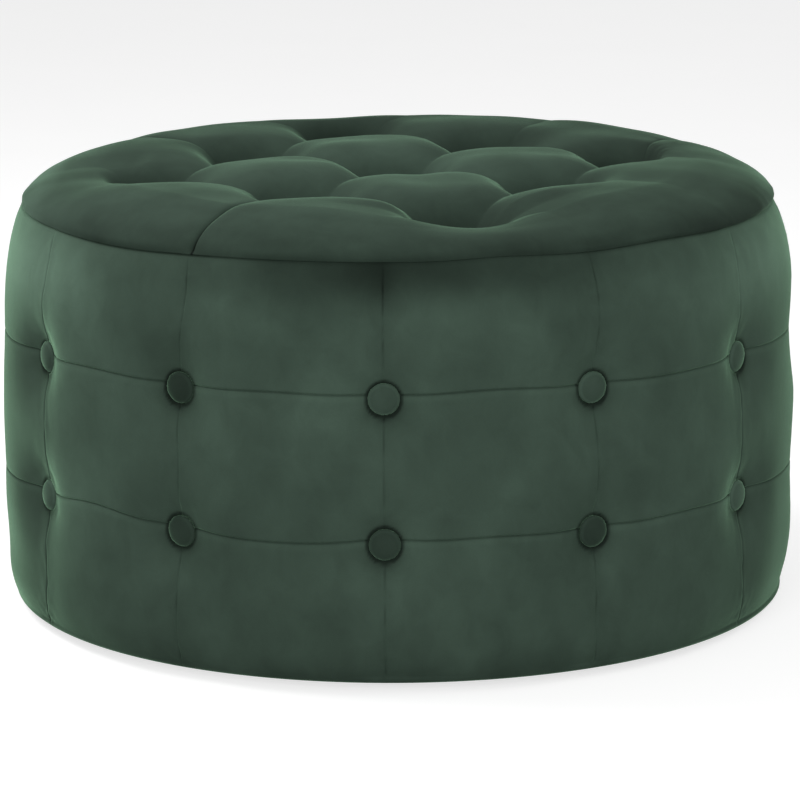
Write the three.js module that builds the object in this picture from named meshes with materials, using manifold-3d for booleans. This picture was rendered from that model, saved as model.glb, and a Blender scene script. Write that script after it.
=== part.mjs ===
// A round pouf with a button-tufted velvet cover: a drum of plywood, pine and board, foam round it
// and on it, the sewn cover, covered buttons pulled in by ties, and glides under the base.
// Millimetres, +Z up. The origin is on the floor under the middle, and the front faces -Y.
import * as THREE from "three";
import { mergeVertices } from "three/addons/utils/BufferGeometryUtils.js";
import Module from "manifold-3d";

const wasm = await Module();
wasm.setup();

// The whole body
const bodyRadius = 382; // crests of the side pads at their widest level
const seamHeight = 386; // the seam between the top and the side
const crownRise = 37; // crests of the top pads above that seam
const seatGap = 0.3; // between pieces that rest on each other
const cutOverrun = 1; // how far every cutter runs past what it cuts

// Upright section of the side: a barrel that draws in further at both shoulders
const widestShare = 0.38; // of the way up from the hem to the top seam
const barrelDrop = 5.5;
const upperShoulderDrop = 13.5;
const upperShoulderHeight = 70;
const lowerShoulderDrop = 9;
const lowerShoulderHeight = 38;
const lowerEdgeRadius = 5;

// Side tufting: buttons where the upright seams cross the two level seams
const columnCount = 12;
const lowerPanelHeight = 127.4; // from the hem to the lower level seam
const upperPanelHeight = 120; // from the upper level seam to the top seam
const sidePadRise = 4; // pad crests above the seams
const sideDentDepth = 14; // button seats below the seams
const sideDentReach = 36;

// Top tufting: three rows of three buttons, and a pleat from the outer ones to each upright seam
const cornerTuftInset = 145.8; // from the crests of the side pads in to the corner tufts
const topTuftDepth = 58; // button seats below the pad crests
const topTuftReach = 44;
const creaseDepthShare = 0.38; // of the crown's rise, beside the tufts
const rimCreaseShare = 0.1; // of that depth, where a pleat meets the seam
const cornerRimDrop = 7; // how far a corner tuft draws the rim down between its two pleats

// Velvet cover
const coverThickness = 2;
const seamAllowance = 12;
const hemWidth = 54; // turned in under the drum

// Covered buttons, 45 ligne, each on a tie with a washer behind the board
const buttonDiameter = 28.6;
const buttonHeight = 8.4;
const buttonShoulderHeight = 4.2;
const buttonBackDiameter = 23;
const seatMargin = 1.4; // flat cloth showing past a button's rim
const tieDiameter = 2.4;
const tieClearance = 0.5;
const washerDiameter = 18;
const washerThickness = 1.6;

// Timber drum
const sideFoamThickness = 49.5; // under the crests of the side pads
const wallThickness = 4;
const deckDrop = 46; // the deck lies this far below the top seam
const deckThickness = 15;
const baseThickness = 15;
const postCount = 4;
const postWidth = 40;
const postDepth = 30;
const postEdgeChamfer = 3;

// Underside
const glideHeight = 6;
const glideDiameter = 25;
const glideTopDiameter = 21;
const glideInset = 26; // from the edge of the base board to the middle of a glide
const dustCoverThickness = 1;
const dustCoverMargin = 14; // hem left showing outside the dust cover
const screwHeadDiameter = 8;
const screwHeadHeight = 1.8;
const screwShankDiameter = 3.5;
const screwLength = 16;
const screwPointHeight = 3;
const counterboreDepth = 3;
const screwClearance = 0.4;

// Smoothness of the meshes
const sideSteps = 36;
const roundSteps = 12;
const tieSides = 4;
const washerSides = 6;
const screwSides = 8;
const columnStepShares = [0, 0.3, 0.7, 1];
const cellStepShares = [0, 0.14, 0.36, 0.64, 0.86, 1];
const rimStepShares = [0, 0.2, 0.45, 0.7, 0.86, 0.95, 1];
const planKeySteps = 1000; // points of a plan closer than one of these per millimetre are one point

// How full the pads are: 1 is a tent, and a high power a flat crest with a narrow groove
const sidePadPower = 3.2;
const topPadPower = 3.4;
const crownPower = 13;

// Worked out from the sizes above
const columnAngle = (2 * Math.PI) / columnCount;
const girth = 2 * Math.PI * bodyRadius;
const dustCoverBottom = glideHeight + seatGap;
const hemHeight = dustCoverBottom + dustCoverThickness + seatGap;
const lowerRowHeight = hemHeight + lowerPanelHeight;
const upperRowHeight = seamHeight - upperPanelHeight;
const widestHeight = hemHeight + widestShare * (seamHeight - hemHeight);
const halfBodyHeight = (seamHeight - hemHeight) / 2;
const drumRadius = bodyRadius - coverThickness - sideFoamThickness - 2 * seatGap;
const drumBottom = hemHeight + coverThickness + seatGap;
const deckHeight = seamHeight - deckDrop;
const deckBottom = deckHeight - deckThickness;
const boardRadius = drumRadius - wallThickness - seatGap;
const glideCircleRadius = boardRadius - glideInset;
const seamRadius = crestRadius(seamHeight);
const tuftPitch = (bodyRadius - cornerTuftInset) / Math.SQRT2;
const topSeatHeight = seamHeight + crownRise - topTuftDepth;
const seatHalfWidth = buttonDiameter / 2 + seatMargin;
const tieHoleDiameter = tieDiameter + 2 * tieClearance;
const flangeLevel = seatGap / 2; // each flange of the top seam stays this far from the seam's level
const tuftTurn = -columnAngle; // the grid of top tufts lines up with one side column in three

// Radius of the side pads' crests at a height.
function crestRadius(height) {
  const fromWidest = (height - widestHeight) / halfBodyHeight;
  const intoUpper = Math.max(0, height - (seamHeight - upperShoulderHeight)) / upperShoulderHeight;
  const intoLower = Math.max(0, hemHeight + lowerShoulderHeight - height) / lowerShoulderHeight;
  return (
    bodyRadius -
    barrelDrop * fromWidest ** 2 -
    upperShoulderDrop * intoUpper ** 2 -
    lowerShoulderDrop * intoLower ** 2
  );
}

// A pad's fullness from 0 at its seams to 1 at its crest, at a share of the way across it.
function fullness(share, power) {
  return 1 - Math.abs(2 * share - 1) ** power;
}

// A point at an azimuth counted from the front towards the right.
function around(azimuth, radius, height) {
  return new THREE.Vector3(radius * Math.sin(azimuth), -radius * Math.cos(azimuth), height);
}

// Plans: a plan is a flat mesh of points u, v with facts, whose u may meet itself after wrap.
function newPlan(wrap = Infinity) {
  return { points: [], faces: [], places: new Map(), wrap };
}

function planPoint(plan, u, v, facts) {
  const steps = Math.round(u * planKeySteps);
  const turn = Math.round(plan.wrap * planKeySteps);
  const column = plan.wrap === Infinity ? steps : ((steps % turn) + turn) % turn;
  const key = `${column} ${Math.round(v * planKeySteps)}`;
  if (!plan.places.has(key)) {
    plan.places.set(key, plan.points.length);
    plan.points.push({ u, v, ...facts });
  }
  return plan.places.get(key);
}

function planFace(plan, a, b, c) {
  if (a !== b && b !== c && c !== a) plan.faces.push([a, b, c]);
}

// Adds a grid of points, each made by pointOf(column, row), with diagonals that fall from the crest.
function planGrid(plan, columns, rows, pointOf) {
  const points = columns.map((column) => rows.map((row) => pointOf(column, row)));
  for (let i = 0; i + 1 < columns.length; i++) {
    for (let j = 0; j + 1 < rows.length; j++) {
      const [a, b, c, d] = [points[i][j], points[i + 1][j], points[i + 1][j + 1], points[i][j + 1]];
      const rising = (2 * i + 1 < columns.length - 1) === (2 * j + 1 < rows.length - 1);
      planFace(plan, a, b, rising ? c : d);
      planFace(plan, rising ? a : b, c, d);
    }
  }
}

// Steps along u from one plan point to another, the short way round.
function planStep(plan, from, to) {
  const step = to - from;
  return plan.wrap === Infinity ? step : step - plan.wrap * Math.round(step / plan.wrap);
}

// Replaces the faces that meet at a point with a flat square seat and a ring of faces out to it.
function planSeat(plan, u, v, halfWidth, facts) {
  const middle = planPoint(plan, u, v, {});
  const angleOf = (n) =>
    Math.atan2(plan.points[n].v - v, planStep(plan, u, plan.points[n].u));
  const ring = [];
  for (const face of plan.faces.filter((f) => f.includes(middle))) {
    const turn = face.indexOf(middle);
    ring.push(face[(turn + 1) % 3]);
  }
  ring.sort((a, b) => angleOf(a) - angleOf(b));
  plan.faces = plan.faces.filter((f) => !f.includes(middle));
  const corners = [
    [-1, -1],
    [1, -1],
    [1, 1],
    [-1, 1],
  ].map(([across, up]) =>
    planPoint(plan, u + across * halfWidth, v + up * halfWidth, {
      ...facts,
      across: across * halfWidth,
      up: up * halfWidth,
    }),
  );
  zipLoops(plan, ring, corners, angleOf);
  planFace(plan, corners[0], corners[1], corners[2]);
  planFace(plan, corners[0], corners[2], corners[3]);
}

// Joins an outer and an inner loop, both ordered by angle, with a ring of faces.
function zipLoops(plan, outer, inner, angleOf) {
  const turned = (loop, n) => angleOf(loop[n % loop.length]) + 2 * Math.PI * Math.floor(n / loop.length);
  let [i, j] = [0, 0];
  while (i < outer.length || j < inner.length) {
    const nextOuter = turned(outer, i + 1);
    const nextInner = turned(inner, j + 1);
    const a = outer[i % outer.length];
    const b = inner[j % inner.length];
    if (j === inner.length || (i < outer.length && nextOuter <= nextInner)) {
      planFace(plan, a, outer[(i + 1) % outer.length], b);
      i += 1;
    } else {
      planFace(plan, a, inner[(j + 1) % inner.length], b);
      j += 1;
    }
  }
}

// Edges of a plan that only one face has, in that face's direction.
function planEdges(plan) {
  const seen = new Set(plan.faces.flatMap(([a, b, c]) => [`${a} ${b}`, `${b} ${c}`, `${c} ${a}`]));
  return plan.faces
    .flatMap(([a, b, c]) => [
      [a, b],
      [b, c],
      [c, a],
    ])
    .filter(([a, b]) => !seen.has(`${b} ${a}`));
}

function solidFromTriangles(triangles) {
  const geometry = new THREE.BufferGeometry().setFromPoints(triangles.flat());
  return solidOf(geometry);
}

// A closed sheet: the plan placed twice, by outer and by inner, with its edges joined.
function sheetSolid(plan, outer, inner) {
  const out = plan.points.map(outer);
  const into = plan.points.map(inner);
  const triangles = plan.faces.flatMap(([a, b, c]) => [
    [out[a], out[b], out[c]],
    [into[a], into[c], into[b]],
  ]);
  for (const [a, b] of planEdges(plan)) {
    triangles.push([out[b], out[a], into[a]], [out[b], into[a], into[b]]);
  }
  return solidFromTriangles(triangles);
}

// A closed body: the plan placed once, and each open edge joined down and in to the Z axis by capOf,
// which gives the levels that an edge's point goes to before it reaches the axis.
function bodySolid(plan, place, capOf) {
  const out = plan.points.map(place);
  const triangles = plan.faces.map(([a, b, c]) => [out[a], out[b], out[c]]);
  for (const [a, b] of planEdges(plan)) {
    const level = capOf(plan.points[a]);
    const downA = new THREE.Vector3(out[a].x, out[a].y, level);
    const downB = new THREE.Vector3(out[b].x, out[b].y, level);
    if (level !== out[a].z) triangles.push([out[b], out[a], downA], [out[b], downA, downB]);
    triangles.push([downB, downA, new THREE.Vector3(0, 0, level)]);
  }
  return solidFromTriangles(triangles);
}

// Solids and geometries
function solidOf(geometry) {
  const bare = geometry.clone();
  bare.deleteAttribute("normal");
  bare.deleteAttribute("uv");
  const merged = mergeVertices(bare);
  return new wasm.Manifold(
    new wasm.Mesh({
      numProp: 3,
      vertProperties: merged.attributes.position.array,
      triVerts: new Uint32Array(merged.index.array),
    }),
  );
}

function geometryOf(solid) {
  const mesh = solid.getMesh();
  const geometry = new THREE.BufferGeometry();
  geometry.setAttribute("position", new THREE.BufferAttribute(mesh.vertProperties, mesh.numProp));
  geometry.setIndex(new THREE.BufferAttribute(mesh.triVerts, 1));
  return geometry;
}

// A prism on Z with flat sides at a radius, its first side facing the front.
function prism(flatRadius, bottom, top, sides) {
  const outline = flatRadius / Math.cos(Math.PI / sides);
  const made = new THREE.CylinderGeometry(outline, outline, top - bottom, sides);
  made.rotateX(Math.PI / 2);
  made.rotateZ(Math.PI / sides);
  made.translate(0, 0, (top + bottom) / 2);
  return made;
}

function ringSolid(outerRadius, innerRadius, bottom, top, sides) {
  const hole = prism(innerRadius, bottom - cutOverrun, top + cutOverrun, sides);
  return solidOf(prism(outerRadius, bottom, top, sides)).subtract(solidOf(hole));
}

// A lathe about Z from radius and height pairs, which start and end on the axis.
function turnedGeometry(profile, sides) {
  const made = new THREE.LatheGeometry(
    profile.map(([radius, height]) => new THREE.Vector2(radius, height)),
    sides,
  );
  return made.rotateX(Math.PI / 2);
}

// Where the buttons sit: each seat has its middle, its outward direction and the depth of its tie.
const sideSeatDistance = (height) => crestRadius(height) - sidePadRise - sideDentDepth;

function sideSeats() {
  const wallInside = drumRadius - wallThickness;
  return [
    ["lower", lowerRowHeight],
    ["upper", upperRowHeight],
  ].flatMap(([row, height]) =>
    Array.from({ length: columnCount }, (_, column) => ({
      name: `side_button_${row}_${column + 1}`,
      middle: around(column * columnAngle, sideSeatDistance(height), height),
      outward: around(column * columnAngle, 1, 0),
      depth: sideSeatDistance(height) - wallInside,
    })),
  );
}

function topSeats() {
  const places = [-1, 0, 1].flatMap((row) => [-1, 0, 1].map((column) => [column, row]));
  return places.map(([column, row], n) => ({
    name: `top_button_${n + 1}`,
    middle: turnedIn(column * tuftPitch, row * tuftPitch, topSeatHeight),
    outward: new THREE.Vector3(0, 0, 1),
    depth: topSeatHeight - deckBottom,
  }));
}

// From the square grid of the top tufts to the body's own directions.
function turnedIn(x, y, z) {
  return new THREE.Vector3(x, y, z).applyAxisAngle(new THREE.Vector3(0, 0, 1), tuftTurn);
}

// Side section: rows from the hem's inner edge, round the lower edge, up to the seam and its allowance.
// inwards says which way the cloth's thickness goes, and relief how much of the tufting shows.
function sideRows() {
  const lowerCorner = lowerEdgeRadius + coverThickness;
  const footRadius = crestRadius(hemHeight);
  const bodyRow = (height, relief) => ({
    radius: crestRadius(height),
    height,
    inwards: [1, 0],
    relief,
  });
  const middleShoulderShare = 0.5;
  return [
    { radius: footRadius - hemWidth, height: hemHeight, inwards: [0, -1], relief: 0 },
    { radius: footRadius - lowerCorner, height: hemHeight, inwards: [0, -1], relief: 0 },
    { ...bodyRow(hemHeight + lowerEdgeRadius, 0), inwards: [1, 0] },
    bodyRow(hemHeight + lowerShoulderHeight, 1),
    bodyRow(lowerRowHeight, 1),
    bodyRow((lowerRowHeight + upperRowHeight) / 2, 1),
    bodyRow(upperRowHeight, 1),
    bodyRow(seamHeight - upperShoulderHeight, 1),
    bodyRow(seamHeight - middleShoulderShare * upperShoulderHeight, 1),
    { radius: seamRadius, height: seamHeight - flangeLevel, inwards: [1, 1], relief: 0 },
    {
      radius: seamRadius - seamAllowance,
      height: seamHeight - flangeLevel,
      inwards: [0, 1],
      relief: 0,
    },
  ];
}

// How far the side's surface lies inside its pads' crests.
function sideRelief(azimuth, height) {
  const column = azimuth / columnAngle;
  const across = fullness(column - Math.floor(column), sidePadPower);
  const betweenRows = (height - lowerRowHeight) / (upperRowHeight - lowerRowHeight);
  const belowRows = (lowerRowHeight - height) / (lowerRowHeight - hemHeight);
  const aboveRows = (height - upperRowHeight) / (seamHeight - upperRowHeight);
  const pastRows = Math.max(belowRows, aboveRows);
  const upAndDown =
    pastRows > 0 ? fullness(Math.min(pastRows, 0.5), sidePadPower) : fullness(betweenRows, sidePadPower);
  const sideways = bodyRadius * columnAngle * (column - Math.round(column));
  const toRow = Math.min(Math.abs(height - lowerRowHeight), Math.abs(height - upperRowHeight));
  const dent = Math.exp(-(sideways ** 2 + toRow ** 2) / sideDentReach ** 2);
  return sidePadRise * (1 - across * upAndDown) + sideDentDepth * dent;
}

// The rows are split into three bands by the two rows of buttons, and the plan is made pad by pad.
function sidePlan(rows) {
  const plan = newPlan(girth);
  const pathOf = rows.map((_, n) =>
    rows.slice(1, n + 1).reduce((sum, row, k) => {
      const last = rows[k];
      return sum + Math.hypot(row.radius - last.radius, row.height - last.height);
    }, 0),
  );
  const rowAt = (height) => rows.findIndex((row) => row.height === height);
  const buttonRows = [rowAt(lowerRowHeight), rowAt(upperRowHeight)];
  const ends = [0, ...buttonRows, rows.length - 1];
  for (let column = 0; column < columnCount; column++) {
    const azimuths = columnStepShares.map((share) => (column + share) * columnAngle);
    for (let band = 0; band + 1 < ends.length; band++) {
      const levels = rows.map((_, n) => n).slice(ends[band], ends[band + 1] + 1);
      planGrid(plan, azimuths, levels, (azimuth, n) =>
        planPoint(plan, azimuth * bodyRadius, pathOf[n], { azimuth, row: rows[n] }),
      );
    }
  }
  for (const n of buttonRows) {
    for (let column = 0; column < columnCount; column++) {
      const azimuth = column * columnAngle;
      const facts = { azimuth, row: rows[n], seat: true };
      planSeat(plan, azimuth * bodyRadius, pathOf[n], seatHalfWidth, facts);
    }
  }
  return plan;
}

// A point of the side plan in space, set inwards by a depth.
function sidePlace({ azimuth, row, seat, across, up }, depth) {
  const [inward, downward] = row.inwards;
  if (seat) {
    const sideways = around(azimuth + Math.PI / 2, across, 0);
    return around(azimuth, sideSeatDistance(row.height) - depth, row.height + up).add(sideways);
  }
  const relief = row.relief ? sideRelief(azimuth, row.height) : 0;
  return around(azimuth, row.radius - relief - inward * depth, row.height - downward * depth);
}

// Top plan: four cells between the tufts, and outside them a ring of cells between the pleats.
// At each point pillow is how full the pad is, out the share of the way from the outer tufts to the
// seam, drawn how much of the rim's drop at a corner is there, and rim says that the point is on the
// seam or its flange.
function topPlan(withFlange) {
  const plan = newPlan();
  for (const [column, row] of [
    [-1, -1],
    [0, -1],
    [-1, 0],
    [0, 0],
  ]) {
    planGrid(plan, cellStepShares, cellStepShares, (a, b) =>
      planPoint(plan, (column + a) * tuftPitch, (row + b) * tuftPitch, {
        pillow: fullness(a, topPadPower) * fullness(b, topPadPower),
        out: 0,
        drawn: 0,
      }),
    );
  }
  const corner = [1, 1];
  for (let side = 0; side < 4; side++) {
    rimCell(plan, side, [1, -1], [1, 0], -1);
    rimCell(plan, side, [1, 0], corner, 0);
    rimCell(plan, side, corner, corner, 1);
  }
  const seats = [-1, 0, 1].flatMap((row) => [-1, 0, 1].map((column) => [column, row]));
  for (const [column, row] of seats) {
    planSeat(plan, column * tuftPitch, row * tuftPitch, seatHalfWidth, { seat: true });
  }
  if (withFlange) rimFlange(plan);
  return plan;
}

// One cell between the outer tufts and the seam, over one column of the side.
function rimCell(plan, side, from, to, column) {
  const turn = (side * Math.PI) / 2;
  const turned = ([x, y]) => [
    x * Math.cos(turn) - y * Math.sin(turn),
    x * Math.sin(turn) + y * Math.cos(turn),
  ];
  const [fromX, fromY] = turned(from);
  const [toX, toY] = turned(to);
  planGrid(plan, rimStepShares, cellStepShares, (out, across) => {
    const angle = turn + (column + across) * columnAngle;
    const innerX = tuftPitch * (fromX + across * (toX - fromX));
    const innerY = tuftPitch * (fromY + across * (toY - fromY));
    const x = innerX + out * (seamRadius * Math.cos(angle) - innerX);
    const y = innerY + out * (seamRadius * Math.sin(angle) - innerY);
    const full = fullness(across, topPadPower);
    const rising = fullness(Math.min(out, 0.5), topPadPower);
    const betweenPleats = from === to;
    const drawn = betweenPleats ? full * fullness(out, 2) : 0;
    const rim = out === 1 ? "seam" : "";
    return planPoint(plan, x, y, { pillow: rising * full, out, drawn, rim });
  });
}

// The seam allowance, unfolded outwards in the plan and folded back in when it is placed.
function rimFlange(plan) {
  const unfolded = (seamRadius + seamAllowance) / seamRadius;
  for (const [a, b] of planEdges(plan)) {
    const [from, to] = [plan.points[a], plan.points[b]];
    const farA = planPoint(plan, from.u * unfolded, from.v * unfolded, { rim: "flange" });
    const farB = planPoint(plan, to.u * unfolded, to.v * unfolded, { rim: "flange" });
    planFace(plan, b, a, farA);
    planFace(plan, b, farA, farB);
  }
}

// Height of the top's surface over a point of its plan.
function topHeight({ u, v, pillow, out, drawn }) {
  const outShare = Math.min(1, Math.hypot(u, v) / seamRadius);
  const crown = crownRise * (1 - outShare ** crownPower);
  const crease = creaseDepthShare * (1 - (1 - rimCreaseShare) * out);
  const pad = crown * (1 - crease * (1 - pillow)) - cornerRimDrop * drawn;
  const toTuft = Math.hypot(...[u, v].map((x) => x - tuftPitch * clampedRound(x / tuftPitch)));
  const pull = Math.exp(-((toTuft / topTuftReach) ** 2));
  return seamHeight + pad + pull * (topSeatHeight - seamHeight - pad);
}

function clampedRound(value) {
  return Math.max(-1, Math.min(1, Math.round(value)));
}

// A point of the top plan in space, set inwards by a depth.
function topPlace(point, depth) {
  const { u, v, rim, seat } = point;
  if (seat) return turnedIn(u, v, topSeatHeight - depth);
  if (!rim) return turnedIn(u, v, topHeight(point) - depth);
  const radius = rim === "seam" ? seamRadius - depth : seamRadius - seamAllowance;
  const shrink = radius / Math.hypot(u, v);
  return turnedIn(u * shrink, v * shrink, seamHeight + flangeLevel + depth);
}

// Cutters for the ties, one square hole per seat, right through cloth, foam and board.
function tieHoles(seats) {
  return seats.map((seat) => {
    const width = tieHoleDiameter / 2;
    const hole = prism(width, -seat.depth - cutOverrun, buttonHeight, tieSides);
    hole.applyQuaternion(facing(seat.outward));
    hole.translate(seat.middle.x, seat.middle.y, seat.middle.z);
    return solidOf(hole);
  });
}

function facing(outward) {
  return new THREE.Quaternion().setFromUnitVectors(new THREE.Vector3(0, 0, 1), outward);
}

const allSideSeats = sideSeats();
const allTopSeats = topSeats();
const sideTieHoles = wasm.Manifold.union(tieHoles(allSideSeats));
const topTieHoles = wasm.Manifold.union(tieHoles(allTopSeats));

// Soft pieces
function sideCover() {
  const plan = sidePlan(sideRows());
  const cloth = sheetSolid(
    plan,
    (point) => sidePlace(point, 0),
    (point) => sidePlace(point, coverThickness),
  );
  return cloth.subtract(sideTieHoles);
}

function topCover() {
  const cloth = sheetSolid(
    topPlan(true),
    (point) => topPlace(point, 0),
    (point) => topPlace(point, coverThickness),
  );
  return cloth.subtract(topTieHoles);
}

// A foam sleeve round the drum, from the hem to the seam's flange.
function sideFoam() {
  const depth = coverThickness + seatGap;
  const foamTop = seamHeight - flangeLevel - depth;
  const rows = sideRows();
  const plan = sidePlan(rows);
  const onFlange = (n) => [rows[0], rows.at(-1)].includes(plan.points[n].row);
  plan.faces = plan.faces.filter((face) => !face.some(onFlange));
  const drum = bodySolid(
    plan,
    (point) => sidePlace(point, depth),
    ({ row }) => (row.height > widestHeight ? foamTop : hemHeight + depth),
  );
  const core = prism(drumRadius + seatGap, 0, seamHeight, sideSteps);
  return drum.subtract(solidOf(core)).subtract(sideTieHoles);
}

// A foam disc on the deck, with a brim that reaches over the seam's flange.
function topFoam() {
  const depth = coverThickness + seatGap;
  const plan = topPlan(false);
  plan.faces = plan.faces.filter((face) => face.every((n) => plan.points[n].rim !== "seam"));
  const dome = bodySolid(
    plan,
    (point) => topPlace(point, depth),
    () => deckHeight + seatGap,
  );
  const brimHeight = seamHeight + flangeLevel + depth;
  const around = ringSolid(bodyRadius, drumRadius, deckHeight - seatGap, brimHeight, sideSteps);
  return dome.subtract(around).subtract(topTieHoles);
}

// Timber and board
function sideWall() {
  const inside = drumRadius - wallThickness;
  return ringSolid(drumRadius, inside, drumBottom, deckHeight, sideSteps).subtract(sideTieHoles);
}

function seatDeck() {
  return solidOf(prism(boardRadius, deckBottom, deckHeight, sideSteps)).subtract(topTieHoles);
}

function baseBoard() {
  const board = solidOf(prism(boardRadius, drumBottom, drumBottom + baseThickness, sideSteps));
  return board.subtract(screwHoles());
}

function postAzimuth(n) {
  return columnAngle / 2 + (n * 2 * Math.PI) / postCount;
}

function postGeometry() {
  const [x, y, cut] = [postWidth / 2, postDepth / 2, postEdgeChamfer];
  const outline = new THREE.Shape([
    new THREE.Vector2(-x + cut, -y),
    new THREE.Vector2(x - cut, -y),
    new THREE.Vector2(x, -y + cut),
    new THREE.Vector2(x, y),
    new THREE.Vector2(-x, y),
    new THREE.Vector2(-x, -y + cut),
  ]);
  const length = deckBottom - drumBottom - baseThickness - 2 * seatGap;
  return new THREE.ExtrudeGeometry(outline, { depth: length, bevelEnabled: false });
}

// Underside
function dustCover() {
  const radius = crestRadius(hemHeight) - dustCoverMargin;
  const top = dustCoverBottom + dustCoverThickness;
  return solidOf(prism(radius, dustCoverBottom, top, sideSteps)).subtract(screwHoles());
}

function screwHoles() {
  const radius = screwShankDiameter / 2 + screwClearance;
  const top = counterboreDepth + screwLength + screwClearance;
  return wasm.Manifold.union(
    Array.from({ length: postCount }, (_, n) => {
      const hole = prism(radius, glideHeight, top, screwSides);
      const place = around(postAzimuth(n), glideCircleRadius, 0);
      return solidOf(hole.translate(place.x, place.y, 0));
    }),
  );
}

function glideGeometry() {
  const hole = screwShankDiameter / 2 + screwClearance;
  const bore = screwHeadDiameter / 2 + screwClearance;
  return turnedGeometry(
    [
      [bore, 0],
      [glideDiameter / 2, 0],
      [glideTopDiameter / 2, glideHeight],
      [hole, glideHeight],
      [hole, counterboreDepth],
      [bore, counterboreDepth],
      [bore, 0],
    ],
    roundSteps,
  );
}

// The screw stands with its head up in the counterbore and its point in the base board.
function screwGeometry() {
  const [head, shank] = [screwHeadDiameter / 2, screwShankDiameter / 2];
  const headTop = counterboreDepth - seatGap;
  const tip = headTop + screwLength;
  return turnedGeometry(
    [
      [0, headTop - screwHeadHeight],
      [head, headTop - screwHeadHeight],
      [head, headTop],
      [shank, headTop],
      [shank, tip - screwPointHeight],
      [0, tip],
    ],
    screwSides,
  );
}

// A covered button with its tie, and the washer that holds the tie behind the board.
// Its back is at 0 on its own Z axis, which points outwards.
function buttonGeometry(depth) {
  const domeShare = 0.66;
  const cap = turnedGeometry(
    [
      [0, 0],
      [buttonBackDiameter / 2, 0],
      [buttonDiameter / 2, buttonShoulderHeight],
      [(domeShare * buttonDiameter) / 2, buttonHeight - (1 - domeShare) * buttonShoulderHeight],
      [0, buttonHeight],
    ],
    roundSteps,
  );
  const washerTop = -depth - 2 * seatGap;
  const tie = prism(tieDiameter / 2, washerTop - washerThickness / 2, buttonShoulderHeight, tieSides);
  const washer = prism(washerDiameter / 2, washerTop - washerThickness, washerTop, washerSides);
  return geometryOf(wasm.Manifold.union([solidOf(cap), solidOf(tie), solidOf(washer)]));
}

// Materials
const velvet = new THREE.MeshStandardMaterial({ color: 0x3f5346, roughness: 0.85 });
const foam = new THREE.MeshStandardMaterial({ color: 0xe8dfc4, roughness: 0.95 });
const plywood = new THREE.MeshStandardMaterial({ color: 0xc39a66, roughness: 0.7 });
const pine = new THREE.MeshStandardMaterial({ color: 0xd9b37a, roughness: 0.7 });
const board = new THREE.MeshStandardMaterial({ color: 0x8a6a48, roughness: 0.8 });
const blackCloth = new THREE.MeshStandardMaterial({ color: 0x17181a, roughness: 0.95 });
const blackPlastic = new THREE.MeshStandardMaterial({ color: 0x1c1c1e, roughness: 0.5 });
const steel = new THREE.MeshStandardMaterial({ color: 0xb4b6b8, roughness: 0.35, metalness: 1 });

const pouf = new THREE.Group();

function addPiece(name, geometry, material, place = new THREE.Vector3(), turn = 0) {
  const piece = new THREE.Mesh(geometry, material);
  piece.name = name;
  piece.position.copy(place);
  piece.rotation.z = turn;
  pouf.add(piece);
  return piece;
}

function addButtons(seats) {
  for (const seat of seats) {
    const place = seat.middle.clone().addScaledVector(seat.outward, seatGap);
    const button = addPiece(seat.name, buttonGeometry(seat.depth), velvet, place);
    button.quaternion.copy(facing(seat.outward));
  }
}

addPiece("top_cover", geometryOf(topCover()), velvet);
addPiece("side_cover", geometryOf(sideCover()), velvet);
addPiece("top_foam", geometryOf(topFoam()), foam);
addPiece("side_foam", geometryOf(sideFoam()), foam);
addPiece("seat_deck", geometryOf(seatDeck()), plywood);
addPiece("base_board", geometryOf(baseBoard()), plywood);
addPiece("side_wall", geometryOf(sideWall()), board);
addPiece("dust_cover", geometryOf(dustCover()), blackCloth);
addButtons(allTopSeats);
addButtons(allSideSeats);

for (let n = 0; n < postCount; n++) {
  const azimuth = postAzimuth(n);
  const postRadius = boardRadius - postDepth / 2;
  const postBottom = drumBottom + baseThickness + seatGap;
  addPiece(`frame_post_${n + 1}`, postGeometry(), pine, around(azimuth, postRadius, postBottom), azimuth);
  const glidePlace = around(azimuth, glideCircleRadius, 0);
  addPiece(`glide_${n + 1}`, glideGeometry(), blackPlastic, glidePlace);
  addPiece(`glide_screw_${n + 1}`, screwGeometry(), steel, glidePlace);
}

export default pouf;
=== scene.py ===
import math

import bmesh
import bpy
import numpy as np
from mathutils import Matrix, Vector


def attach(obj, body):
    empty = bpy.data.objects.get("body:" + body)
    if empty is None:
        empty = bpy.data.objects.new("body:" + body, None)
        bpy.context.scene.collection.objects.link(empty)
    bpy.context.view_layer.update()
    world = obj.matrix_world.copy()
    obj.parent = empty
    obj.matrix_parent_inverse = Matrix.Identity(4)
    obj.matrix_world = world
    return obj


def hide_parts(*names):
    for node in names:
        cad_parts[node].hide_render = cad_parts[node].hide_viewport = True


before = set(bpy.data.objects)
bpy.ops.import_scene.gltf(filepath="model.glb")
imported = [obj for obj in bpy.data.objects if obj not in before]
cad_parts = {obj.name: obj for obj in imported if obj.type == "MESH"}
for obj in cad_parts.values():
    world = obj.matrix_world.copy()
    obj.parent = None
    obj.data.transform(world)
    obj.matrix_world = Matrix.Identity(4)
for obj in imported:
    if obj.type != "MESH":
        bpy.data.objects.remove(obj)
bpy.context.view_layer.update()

# Sizes of the part, in millimetres: the same as those that its solids were made from
MM = 0.001
BODY_RADIUS = 382.0
SEAM_HEIGHT = 386.0
HEM_HEIGHT = 7.6
HEM_RADIUS = 316.0
LOWER_PANEL = 127.4
UPPER_PANEL = 120.0
LOWER_ROW = HEM_HEIGHT + LOWER_PANEL
UPPER_ROW = SEAM_HEIGHT - UPPER_PANEL
COLUMNS = 12
COLUMN_ANGLE = 2 * math.pi / COLUMNS
TUFT_INSET = 145.8       # the corner tufts lie this far inside the body's radius
TUFT_PITCH = (BODY_RADIUS - TUFT_INSET) / math.sqrt(2)
TUFT_TURN = -COLUMN_ANGLE
TUFT_DEPTH = 58.0
CROWN_RISE = 37.0
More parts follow.
